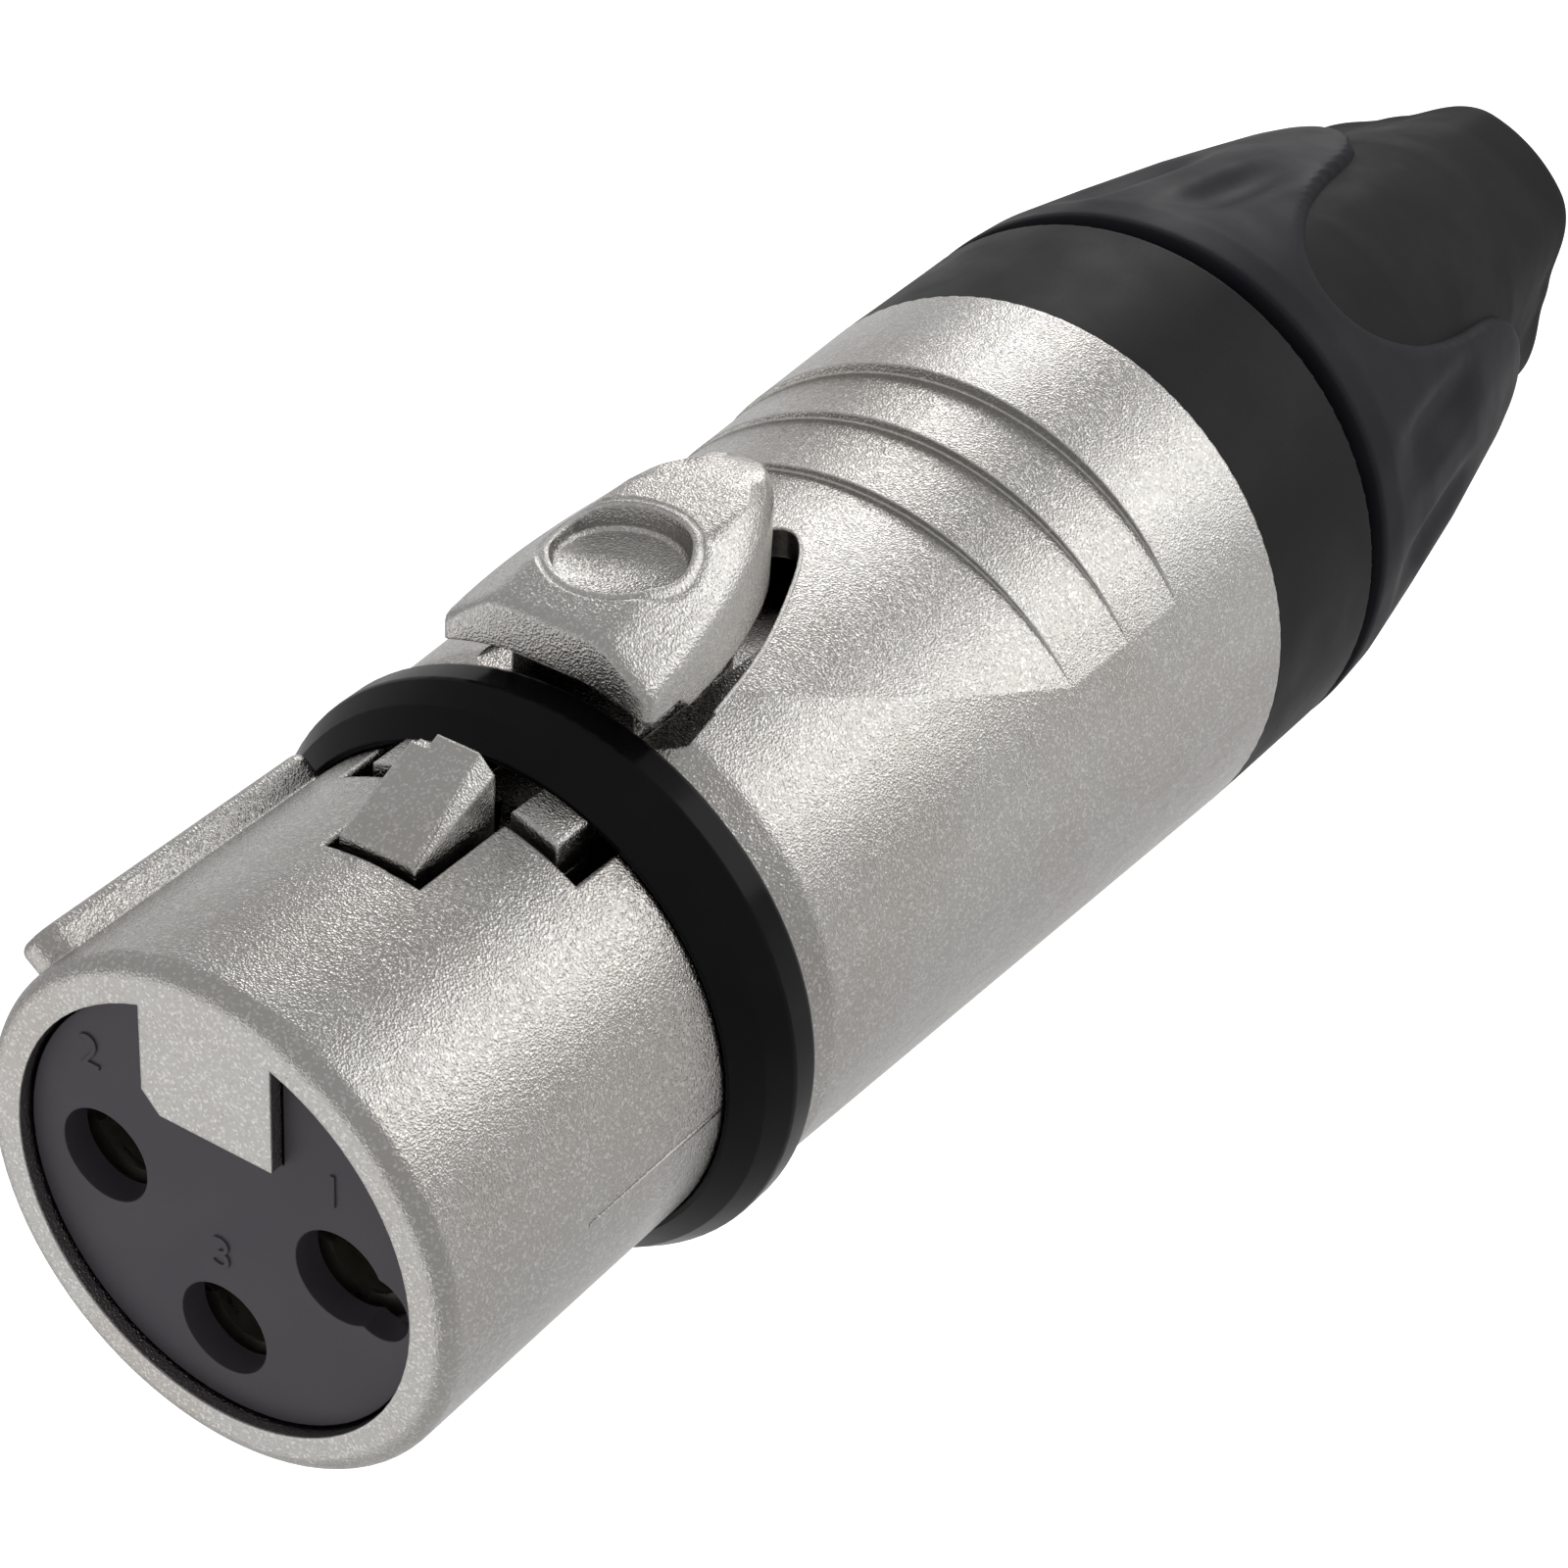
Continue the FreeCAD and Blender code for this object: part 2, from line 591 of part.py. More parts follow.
def make_earth_clip():
    rear = CLIP_FRONT_X + CLIP_LENGTH
    inner = CARRIER_R + FACE_GAP
    outer = inner + CLIP_THICKNESS
    clip = tube(CLIP_FRONT_X, rear, inner, outer)
    clip = clip.cut(block(CLIP_FRONT_X, rear, -CAVITY_R, CAVITY_R, CLIP_TOP_Z, CAVITY_R))
    middle = (CLIP_FRONT_X + rear) / 2
    for angle in BUMP_ANGLES:
        bump = Part.makeSphere(BUMP_R, V(middle, 0, CAVITY_R - FACE_GAP - BUMP_R))
        bump = bump.cut(rod(CLIP_FRONT_X, rear, inner + CLIP_THICKNESS / 4))
        clip = clip.fuse(about_x(bump, angle))
    tag = middle_block(rear - SEAT_OVERLAP, rear + TAG_LENGTH, TAG_WIDTH, 0, outer)
    tag = tag.common(tube(CLIP_FRONT_X, rear + TAG_LENGTH, inner, outer))
    tag = tag.cut(Part.makeCylinder(TAG_HOLE_R, outer, V(rear + TAG_HOLE_PLACE, 0, 0), Z_AXIS))
    return clip.fuse(about_x(tag, TAG_ANGLE)).removeSplitter()


def button_plan(z0, z1):
    plan = shield_plan(BUTTON_FRONT_X, BUTTON_LENGTH, BUTTON_HALF_WIDTH, z0, z1)
    corners = [e for e in plan.Edges
               if abs(e.tangentAt(e.FirstParameter).z) > 0.9 and e.CenterOfMass.x < BUTTON_FRONT_X + FACE_GAP]
    return plan.makeFillet(BUTTON_CORNER_ROUND, corners)


def make_button():
    """The thumb button: a roof with a flat crest over a shield-shaped plan, arched over the ring."""
    wires = []
    wide = BUTTON_HALF_WIDTH + BUTTON_SECTION_MARGIN
    low_z = BODY_FRONT_R + BUTTON_BOTTOM_RISE
    for place, edge_y, edge_rise, crest_y, crest_rise in BUTTON_SECTIONS:
        x = BUTTON_FRONT_X + place
        crest_z = BODY_FRONT_R + crest_rise
        slope = (crest_rise - edge_rise) / (edge_y - crest_y)
        wide_z = max(crest_z - slope * (wide - crest_y), low_z + FACE_GAP)
        points = [
            V(x, -wide, low_z),
            V(x, -wide, wide_z),
            V(x, -crest_y, crest_z),
            V(x, crest_y, crest_z),
            V(x, wide, wide_z),
            V(x, wide, low_z),
        ]
        wires.append(Part.makePolygon(points + points[:1]))
    roof = Part.makeLoft(wires, True, True)
    cap = roof.common(button_plan(low_z, 2 * BARREL_R))
    arch = rod(BUTTON_FRONT_X, SHOULDER_X + BUTTON_ARCH_BEHIND, RING_R + BUTTON_ARCH_GAP)
    arch.translate(V(0, 0, BUTTON_PRESS_ROOM))
    cap = cap.cut(arch)
    dish_place = V(BUTTON_FRONT_X + DISH_PLACE, 0, BODY_FRONT_R + DISH_RISE)
    return cap.cut(Part.makeCylinder(DISH_R, BODY_FRONT_R, dish_place, Z_AXIS))


def side_plate(outline, width):
    """Plate in the middle plane, cut to an outline of (x, z) corners."""
    corners = [V(x, -width / 2, z) for x, z in outline]
    return Part.Face(Part.makePolygon(corners + corners[:1])).extrude(V(0, width, 0))


def make_latch():
    hook_front = HOOK_SLOT_FRONT_X + HOOK_PLAY
    hook_rear = hook_front + HOOK_LENGTH
    lug_front = LUG_SLOT_FRONT_X + LUG_PLAY
    lug_rear = lug_front + LUG_LENGTH
    latch = side_plate([
        (hook_front, LEVER_BOTTOM_Z),
        (hook_front, BARREL_R + HOOK_FRONT_RISE),
        (hook_rear, BARREL_R + HOOK_REAR_RISE),
        (hook_rear, LEVER_TOP_Z),
        (lug_front, LEVER_TOP_Z),
        (lug_front, LEVER_BOTTOM_Z),
    ], HOOK_WIDTH)
    step_z = BARREL_R + HOOK_REAR_RISE - HOOK_STEP
    latch = latch.cut(sided_block(hook_rear - HOOK_STEP, hook_rear, 1, HOOK_WIDTH / 2 - HOOK_STEP_WIDTH,
                                  HOOK_WIDTH / 2, step_z, 2 * BARREL_R))
    crossbar = middle_block(lug_front, lug_rear, 2 * LUG_OUTER_Y, LEVER_BOTTOM_Z, LEVER_TOP_Z)
    tail_front = PIVOT_X - TAIL_LENGTH
    lever = middle_block(lug_front, tail_front, LEVER_WIDTH, LEVER_BOTTOM_Z, LEVER_TOP_Z)
    tail_rows = [(PIVOT_X + dx, PIVOT_Z + dz) for dx, dz in TAIL_OUTLINE]
    tail = side_plate([(tail_front, LEVER_BOTTOM_Z), (tail_front, LEVER_TOP_Z)] + tail_rows, LEVER_WIDTH)
    latch = latch.fuse([crossbar, lever, tail])
    for side in (-1, 1):
        lug = sided_block(lug_front, lug_rear, side, LUG_INNER_Y, LUG_OUTER_Y, LEVER_BOTTOM_Z, BARREL_R)
        latch = latch.fuse(lug.common(rod(lug_front, lug_rear, BARREL_R - LUG_TOP_GAP)))
    stem_x = SHOULDER_X + STEM_SET
    stem = middle_block(stem_x, stem_x + STEM_LENGTH, LEVER_WIDTH, LEVER_BOTTOM_Z, BODY_FRONT_R + STEM_RISE)
    latch = latch.fuse([make_button(), stem])
    trunnion_half = SHELF_HALF_WIDTH - LATCH_SIDE_GAP
    trunnion = Part.makeCylinder(TRUNNION_R, 2 * trunnion_half, V(PIVOT_X, -trunnion_half, PIVOT_Z), Y_AXIS)
    return latch.fuse(trunnion).removeSplitter()


def make_latch_spring():
    """Folded leaf: one leg lies in the channel, the other carries the lever."""
    floor = CHANNEL_FLOOR_Z + FACE_GAP
    top = LEVER_BOTTOM_Z - FACE_GAP
    bend_top = floor + 2 * LEAF_BEND_R
    leaf_rear = LEAF_FRONT_X + LEAF_LENGTH
    return side_plate([
        (LEAF_FRONT_X, floor),
        (leaf_rear - LEAF_BEND_R, floor),
        (leaf_rear, floor + LEAF_BEND_R),
        (leaf_rear - LEAF_THICKNESS, bend_top),
        (LEAF_FRONT_X + LEAF_TIP_LENGTH, top),
        (LEAF_FRONT_X, top - LEAF_TIP_DROP),
        (LEAF_FRONT_X, top - LEAF_TIP_DROP - LEAF_THICKNESS),
        (LEAF_FRONT_X + LEAF_TIP_LENGTH, top - LEAF_THICKNESS),
        (leaf_rear - LEAF_BEND_R, bend_top - LEAF_THICKNESS),
        (leaf_rear - LEAF_THICKNESS, floor + LEAF_BEND_R),
        (leaf_rear - LEAF_BEND_R, floor + LEAF_THICKNESS),
        (LEAF_FRONT_X, floor + LEAF_THICKNESS),
    ], LEAF_WIDTH)


def make_collar_ring():
    bore = SPIGOT_R + FACE_GAP
    rear_r = BODY_REAR_R + COLLAR_RING_FLARE
    collar = turned([
        (BODY_REAR_X, bore),
        (BODY_REAR_X, BODY_REAR_R),
        (COLLAR_RING_REAR_X, rear_r),
        (COLLAR_RING_REAR_X, bore),
    ])
    return collar.makeFillet(COLLAR_RING_ROUND, edge_at(collar, COLLAR_RING_REAR_X, rear_r))


def clamp_cone_radius(x):
    """Radius of the cone inside the bushing, which closes the clamp's jaws."""
    share = (x - BUSHING_CONE_X) / (CHUCK_REAR_X - BUSHING_CONE_X)
    return BUSHING_BORE_R + share * (CHUCK_REAR_R + SLIDE_GAP - BUSHING_BORE_R)


def make_chuck():
    outer = turned([
        (CHUCK_FRONT_X, 0),
        (CHUCK_FRONT_X, CHUCK_R),
        (BUSHING_CONE_X, BUSHING_BORE_R - SLIDE_GAP),
        (CHUCK_REAR_X, CHUCK_REAR_R),
        (CHUCK_REAR_X, 0),
    ])
    inner = turned([
        (CHUCK_FRONT_X, 0),
        (CHUCK_FRONT_X, CHUCK_BORE_R),
        (BUSHING_CONE_X, CHUCK_BORE_R),
        (CHUCK_REAR_X, CHUCK_REAR_BORE_R),
        (CHUCK_REAR_X, 0),
    ])
    chuck = outer.cut(inner)
    for index in range(TEETH):
        x = CHUCK_REAR_X - (index + 1) * TOOTH_PITCH
        tooth = turned([
            (x - TOOTH_PITCH / 2, CHUCK_BORE_R),
            (x, CHUCK_REAR_BORE_R - TOOTH_DEPTH),
            (x + TOOTH_PITCH / 4, CHUCK_REAR_BORE_R - TOOTH_DEPTH),
            (x + TOOTH_PITCH / 2, CHUCK_BORE_R),
        ])
        chuck = chuck.fuse(tooth.common(outer))
    for index in range(CHUCK_SLOTS):
        slot = middle_block(CHUCK_RING_REAR_X, CHUCK_REAR_X, CHUCK_SLOT_WIDTH, 0, BUSHING_BORE_R)
        chuck = chuck.cut(about_x(slot, (index + 0.5) * 360 / CHUCK_SLOTS))
    root = middle_block(CHUCK_FRONT_X, CHUCK_RING_REAR_X, PRONG_WIDTH, CHUCK_R - SEAT_OVERLAP, PRONG_INNER_R)
    prong_front = CARRIER_REAR_X + FACE_GAP
    prong = middle_block(prong_front, CHUCK_RING_REAR_X, PRONG_WIDTH, PRONG_INNER_R, PRONG_R)
    prong = prong.common(rod(prong_front, CHUCK_RING_REAR_X, PRONG_R))
    for angle in PRONG_ANGLES:
        chuck = chuck.fuse([about_x(root, angle), about_x(prong, angle)])
    return chuck.removeSplitter()


def scoops(inset):
    """The openings between the fingers: each has a half-oval front and runs out straight to the rear."""
    middle = HEAD_X + SCOOP_PLACE + SCOOP_HALF_LENGTH
    rear = HEAD_X + HEAD_OUTLINE[-1][0] + BOOT_LENGTH
    half_width = SCOOP_HALF_WIDTH - inset
    oval = Part.Ellipse(V(middle, 0, 0), SCOOP_HALF_LENGTH - inset, half_width)
    front = Part.Face(Part.Wire([oval.toShape()])).extrude(V(0, 0, 2 * BARREL_R))
    scoop = front.fuse(middle_block(middle, rear, 2 * half_width, 0, 2 * BARREL_R))
    return [about_x(scoop, FIRST_SCOOP_ANGLE + index * 360 / FINGER_COUNT) for index in range(FINGER_COUNT)]


def head_radius(place):
    for (x0, fall0), (x1, fall1) in zip(HEAD_OUTLINE, HEAD_OUTLINE[1:]):
        if x0 <= place <= x1:
            return HEAD_R - fall0 - (fall1 - fall0) * (place - x0) / (x1 - x0)
    return HEAD_R - HEAD_OUTLINE[-1][1]


def finger_groove():
    """Long shallow dimple in the outside of a finger, left by a ring with a bent axis."""
    width_r = FINGER_GROOVE_WIDTH ** 2 / (8 * FINGER_GROOVE_DEPTH) + FINGER_GROOVE_DEPTH / 2
    length_r = FINGER_GROOVE_LENGTH ** 2 / (8 * FINGER_GROOVE_DEPTH) + FINGER_GROOVE_DEPTH / 2
    middle = FINGER_GROOVE_PLACE + FINGER_GROOVE_LENGTH / 2
    fall = head_radius(FINGER_GROOVE_PLACE) - head_radius(FINGER_GROOVE_PLACE + FINGER_GROOVE_LENGTH)
    lift = length_r - FINGER_GROOVE_DEPTH
    groove = Part.makeTorus(length_r - width_r, width_r, V(0, 0, lift), Y_AXIS)
    groove = groove.common(block(-FINGER_GROOVE_LENGTH, FINGER_GROOVE_LENGTH, -width_r, width_r,
                                 -FINGER_GROOVE_DEPTH, width_r))
    groove.rotate(V(0, 0, 0), Y_AXIS, math.degrees(math.atan2(fall, FINGER_GROOVE_LENGTH)))
    groove.translate(V(HEAD_X + middle, 0, head_radius(middle)))
    return groove


def make_bushing():
    outline = tuple((HEAD_X + place, HEAD_R - fall) for place, fall in HEAD_OUTLINE)
    head = turned_curve(outline, ((outline[-1][0], 0), (HEAD_X, 0)))
    head = head.makeFillet(HEAD_EDGE_ROUND, edge_at(head, HEAD_X, outline[0][1]))
    outside = head.fuse(rod(BUSHING_FRONT_X, HEAD_X, THREAD_R - SLIDE_GAP))
    bore = turned([
        (BUSHING_FRONT_X, 0),
        (BUSHING_FRONT_X, BUSHING_BORE_R),
        (BUSHING_CONE_X, BUSHING_BORE_R),
        (BOOT_FRONT_X, clamp_cone_radius(BOOT_FRONT_X)),
        (BOOT_FRONT_X, 0),
    ])
    bushing = outside.cut(bore).cut(scoops(0))
    for index in range(FINGER_COUNT):
        finger = FIRST_SCOOP_ANGLE + (index + 0.5) * 360 / FINGER_COUNT
        for place in range(FINGER_GROOVES):
            offset = (place - (FINGER_GROOVES - 1) / 2) * FINGER_GROOVE_ANGLE
            bushing = bushing.cut(about_x(finger_groove(), finger + offset))
    return bushing.cut(boot_sleeve(FACE_GAP)).removeSplitter()


def boot_sleeve(grow):
    outline = tuple((BOOT_FRONT_X + place, HEAD_R - fall + grow) for place, fall in BOOT_OUTLINE)
    rear = BOOT_FRONT_X + BOOT_LENGTH + grow
    return turned_curve(outline, (
        (rear, outline[-1][1] - BOOT_END_ROUND),
        (rear, 0),
        (BOOT_FRONT_X, 0),
    ))


def make_boot():
    outline = tuple((BOOT_FRONT_X + place, HEAD_R - fall) for place, fall in PAD_OUTLINE)
    pads = turned_curve(outline, ((outline[-1][0], 0), (BOOT_FRONT_X, 0)))
    boot = boot_sleeve(0).fuse([pads.common(scoop) for scoop in scoops(FACE_GAP)])
    return boot.cut(rod(BOOT_FRONT_X, BOOT_FRONT_X + BOOT_LENGTH, BOOT_BORE_R)).removeSplitter()


def make_all():
    shapes = {
        "housing": make_housing(),
        "front_ring": make_front_ring(),
        "insert_front": make_insert_front(),
        "insert_back": make_insert_back(),
        "earth_clip": make_earth_clip(),
        "latch": make_latch(),
        "latch_spring": make_latch_spring(),
        "collar_ring": make_collar_ring(),
        "chuck": make_chuck(),
        "boot": make_boot(),
        "bushing": make_bushing(),
    }
    for index, (y, z) in enumerate(contact_places()):
        shapes["contact_%d" % (index + 1)] = make_contact(y, z)
    return shapes


os.makedirs("parts", exist_ok=True)
for name, shape in make_all().items():
    shape.exportStep("parts/%s.step" % name)
    print(name, len(shape.Solids), "solids", round(shape.Volume, 2), "mm3", shape.isValid())
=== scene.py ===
import math

import bmesh
import bpy
from mathutils import Matrix, Vector


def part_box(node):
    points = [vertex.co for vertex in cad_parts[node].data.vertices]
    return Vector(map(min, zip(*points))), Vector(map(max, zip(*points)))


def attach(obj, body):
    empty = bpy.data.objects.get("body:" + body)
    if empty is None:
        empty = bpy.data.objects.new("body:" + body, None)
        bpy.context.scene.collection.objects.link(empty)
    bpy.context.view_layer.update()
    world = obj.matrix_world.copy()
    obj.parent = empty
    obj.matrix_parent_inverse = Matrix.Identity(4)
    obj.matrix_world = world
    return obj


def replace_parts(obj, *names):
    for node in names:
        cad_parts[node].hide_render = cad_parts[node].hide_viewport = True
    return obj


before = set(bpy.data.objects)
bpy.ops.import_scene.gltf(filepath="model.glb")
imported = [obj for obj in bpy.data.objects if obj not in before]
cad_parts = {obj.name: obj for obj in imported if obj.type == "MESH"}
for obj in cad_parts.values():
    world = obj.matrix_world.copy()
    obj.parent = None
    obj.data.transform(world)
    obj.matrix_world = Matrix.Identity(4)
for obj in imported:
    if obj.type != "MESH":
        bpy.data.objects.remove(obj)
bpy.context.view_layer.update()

bl_info = {
    "name": "Female XLR cable connector",
    "version": (1, 0, 0),
    "blender": (4, 5, 0),
    "location": "3D View > Sidebar > Connector",
    "description": "Finishes, fine details and studio for a three-pole cable connector",
    "category": "Object",
}

MM = 0.001
MERGE_DISTANCE = 0.0005 * MM
FLAT_ANGLE = math.radians(1.0)
SHARP_ANGLE = math.radians(30.0)

# The photograph's camera: place in millimetres, direction, turn about its own axis and lens
CAMERA_PLACE = Vector((-58.73, -52.59, 69.67))
CAMERA_FORWARD = Vector((0.6976, 0.4282, -0.5745))
CAMERA_TURN = math.radians(3.99)
CAMERA_LENS = 91.54
SENSOR_WIDTH = 36.0

# Lamps round the connector's middle: name, direction, distance, size across and along its axis, and setting
CONNECTOR_MIDDLE = Vector((36.0, 0.0, 0.0)) * MM
LAMPS = (
    ("key", (0.70, -0.51, 0.50), 0.42, (0.24, 0.40), "key_power"),
    ("left_card", (0.70, 0.71, -0.05), 0.45, (0.34, 0.40), "card_power"),
    ("right_card", (0.70, -0.66, -0.22), 0.40, (0.26, 0.36), "card_power"),
    ("front_card", (-0.74, 0.40, -0.54), 0.18, (0.20, 0.20), "front_power"),
    ("top", (0.815, 0.33, 0.475), 0.22, (0.068, 0.135), "top_power"),
)

# The floor: half its size, its faint mottling, and how much of its own light is seen in mirrored rays
FLOOR_SIZE = 4.0
MOTTLE_SIZE = 400 * MM
MOTTLE_SHADE = 0.985
MIRRORED_SHARE = 0.1

# Plastics: rubbed tone, roughness, gloss, and grain size, grain depth and edge round in millimetres
PLASTICS = {
    "insert_plastic": ((0.068, 0.062, 0.072), 0.5, 0.3, 0.09, 0.004, 0.06),
    "ring_plastic": ((0.008, 0.008, 0.009), 0.2, 0.10, 0.3, 0.001, 0.08),
    "collar_plastic": ((0.018, 0.017, 0.018), 0.45, 0.08, 0.08, 0.004, 0.08),
    "bushing_plastic": ((0.018, 0.017, 0.022), 0.45, 0.06, 0.08, 0.004, 0.2),
    "clamp_plastic": ((0.05, 0.05, 0.05), 0.5, 0.3, 0.09, 0.004, 0.08),
    "boot_rubber": ((0.018, 0.016, 0.016), 0.6, 0.08, 0.07, 0.004, 0.25),
}
PLASTIC_CLOUDS = 2.4 * MM
CLAMP_BLACK = (0.03, 0.03, 0.032)

# Plated metal: colour and roughness, and the marks that turning leaves
CONTACT_METAL = ((0.70, 0.66, 0.58), 0.25)
CLIP_STEEL = ((0.62, 0.62, 0.62), 0.3)
SPRING_STEEL = ((0.58, 0.58, 0.58), 0.28)
TURNING_STRETCH = (1.0, 0.05, 0.05)
TURNING_PITCH = 0.12 * MM
TURNING_DEPTH = 0.002 * MM
STAIN_SIZE = 1.5 * MM
STAIN_SHADE = 0.6

# The latch in millimetres, as its solid has it: where the lever is cut free, the hook and the lugs
LATCH_REAR = 40.0
STEM_CUT = 9.05
BLOCK_CUT = 6.3
BLOCK_FOOT = 6.0
HOOK_NOSE = 7.4
HOOK_REAR = 10.55
HOOK_WIDTH = (-2.0, 2.0)
HOOK_STEP = 0.6
HOOK_EDGE = 0.08
HOOK_REACH = (-0.27, 0.0, 0.0)
LUG_REAR = 12.4
LUG_WIDTHS = ((-4.0, 0.0), (0.0, 4.0))
LUG_FOOT = 6.9
LUG_EDGE = 0.12
LUG_LIFT = (0.0, 0.0, 0.35)
UPRIGHT_LENGTH = 2.0

# The hook's bevels in millimetres: a corner on each, its outward direction and its depth
HOOK_BEVELS = (
    ((6.98, -1.25, 8.1), (-0.25, -0.68, 0.69), 0.14),
    ((6.98, 0.0, 8.1), (-0.85, 0.0, 0.53), 0.07),
    ((6.98, 1.25, 8.1), (-0.3, 0.7, 0.65), 0.08),
)

# The thumb cap's outline and underside in millimetres
CAP_FRONT = 14.1
CAP_LENGTH = 10.1
CAP_HALF_WIDTH = 3.5
CAP_CORNER = 0.35
CAP_FULLNESS = 1.7
CAP_BLUNTNESS = 0.53
CAP_UNDERSIDE = 9.1
ARCH_END = 15.8
ARCH_RADIUS = 9.25
ARCH_CENTRE = 1.0
FRONT_STEPS = 8
CORNER_STEPS = 4
SIDE_STEPS = 30

# The thumb cap's roof in millimetres: a flat crest, and side facets down to a lower edge
CAP_TOP = 12.47
CREST_FRONT_DROP = 0.8
CREST_RISE_LENGTH = 7.0
CREST_REAR_DROP = 0.5
CREST_FALL_START = 8.0
CREST_HALF_WIDTH = 1.72
CREST_SHARE = 0.7
CREASE_SOFTNESS = 0.006
FACET_LIMIT = 1.05
FACET_FRONT_FOOT = 10.3
FACET_RISE = 0.27
FACET_CURVE = 0.012
TIP_HALF_WIDTH = 0.3
CAP_ROUND = 0.3
DISH_CENTRE = Vector((17.6, 0.0))
DISH_RADIUS = 1.95
DISH_FLOOR = 11.4
DISH_MIDDLE = 0.5
DISH_RIM = 0.4

# The cap's rings of points in millimetres, from the middle of the dish outward and down
DISH_RINGS = ((0.9, 0.03), (1.3, 0.09), (1.6, 0.15), (1.82, 0.21), (1.9, 0.3))
RIM_RINGS = ((0.0, 0.12), (0.04, 0.04), (0.12, 0.0), (0.20, 0.0), (0.26, 0.05), (0.32, 0.05))
ROOF_SHARES = (0.0, 0.2, 0.4, 0.6, 0.8, 1.0)
EDGE_RINGS = ((0.4, 0.04), (0.1, 0.12), (0.0, 0.24))
FOOT_SHARES = (1.0, 0.72, 0.69)

# The bushing's thread and head in millimetres, with radii at places along the axis
THREAD_FRONT = 35.5
THREAD_REAR = 47.48
THREAD_RUNOUT_END = 47.1
THREAD_RADIUS = 8.14
THREAD_PITCH = 1.5
THREAD_DEPTH = 0.3
HEAD_FRONT = 47.5
HEAD_REAR = 64.8
HEAD_ROUND = 0.4
HEAD_RADII = ((47.5, 10.0), (49.2, 9.93), (52.9, 9.38), (57.6, 8.62), (60.0, 8.15), (62.8, 7.6), (64.0, 7.3),
              (64.6, 6.9))
BORE_PROFILE = ((35.5, 6.95), (38.5, 6.95), (47.5, 5.96), (50.9, 5.6), (50.95, 8.38), (57.6, 7.5),
                (62.6, 6.45))
FINGER_TIP = 64.6
FINGER_ROUND = 1.4
FINGER_HALF_WIDTH = 4.6
FINGER_FADE = 0.35
FINGER_SUNK = 0.45
TIP_FALL = 2.6
TIP_SPREAD = 1.1
SCOOP_MIDDLE = 60.0
SCOOP_LENGTH = 8.8
SCOOP_WIDTH = 3.7
SCOOP_TURN = math.radians(-34.5)
DIMPLE_MIDDLE = 53.9
DIMPLE_LENGTH = 3.9
DIMPLE_WIDTH = 1.15
DIMPLE_DEPTH = 0.55
DIMPLE_ENDS = 1.4
DIMPLE_TURNS = (-24.0, 0.0, 24.0)

# The boot in millimetres, with radii of its sleeve and of its pads at places along the axis
BOOT_FRONT = 50.95
BOOT_REAR = 71.9
BOOT_BORE = 4.0
BOOT_ROUND = 0.7
SLEEVE_RADII = ((50.9, 8.4), (57.6, 7.5), (62.6, 6.75), (65.0, 6.35), (67.0, 5.95), (69.0, 5.48), (70.5, 5.2),
                (72.0, 5.1))
PAD_RADII = ((50.9, 9.3), (55.0, 8.85), (60.0, 8.0), (63.0, 7.42), (66.0, 6.85), (69.0, 6.4), (72.0, 6.15))
PAD_EDGE = 4.4
PAD_FADE = 2.2
GRIP_STEP = 0.16
GRIP_SIDES = 270

# Trim on the housing and the insert, in millimetres
WINDOW_RIM_PLACES = (17.0, 26.5)
WINDOW_RIM_RADII = (8.5, 9.1)
WINDOW_LEDGE = 8.05
BARREL_RADIUS = 7.85
SEAM_MIDDLE = 9.1
SEAM_LENGTH = 6.2
SEAM_ROUND_SHARE = 0.3

# Each pin number with its middle across and up on the insert's face, in millimetres
NUMBER_PLACES = ((1, -3.78, 2.79), (2, 4.32, 3.33), (3, -0.01, -1.35))
INSERT_FACE_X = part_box("insert_front")[0].x


# Node trees

def new_surface(name):
    """Material with a Principled shader, and the Object coordinates that its patterns read."""
    material = bpy.data.materials.new(name)
    material.use_nodes = True
    tree = material.node_tree
    tree.nodes.clear()
    output = tree.nodes.new("ShaderNodeOutputMaterial")
    shader = tree.nodes.new("ShaderNodeBsdfPrincipled")
    tree.links.new(shader.outputs["BSDF"], output.inputs["Surface"])
    place = tree.nodes.new("ShaderNodeTexCoord").outputs["Object"]
    return material, tree, shader, place


def noise(tree, place, size, detail=2.0):
    """Cloudy pattern whose features have that size in metres."""
    node = tree.nodes.new("ShaderNodeTexNoise")
    node.inputs["Scale"].default_value = 1 / size
    node.inputs["Detail"].default_value = detail
    tree.links.new(place, node.inputs["Vector"])
    return node.outputs["Fac"]


def cells(tree, place, size):
    """Voronoi grains of that size in metres."""
    node = tree.nodes.new("ShaderNodeTexVoronoi")
    node.inputs["Scale"].default_value = 1 / size
    tree.links.new(place, node.inputs["Vector"])
    return node


def cell_values(tree, place, size):
    """A chance value for each grain."""
    channels = tree.nodes.new("ShaderNodeSeparateColor")
    tree.links.new(cells(tree, place, size).outputs["Color"], channels.inputs["Color"])
    return channels.outputs["Red"]


def ranged(tree, value, low, high, start=0.3, end=0.7):
    """The value between start and end, spread over the range from low to high."""
    node = tree.nodes.new("ShaderNodeMapRange")
    node.inputs["From Min"].default_value = start
    node.inputs["From Max"].default_value = end
    node.inputs["To Min"].default_value = low
    node.inputs["To Max"].default_value = high
    tree.links.new(value, node.inputs["Value"])
    return node.outputs["Result"]


def combined(tree, operation, first, second):
    """Sum or product of two values, of which the second may be a plain number."""
    node = tree.nodes.new("ShaderNodeMath")
    node.operation = operation
    tree.links.new(first, node.inputs[0])
    if isinstance(second, float):
        node.inputs[1].default_value = second
    else:
        tree.links.new(second, node.inputs[1])
    return node.outputs[0]


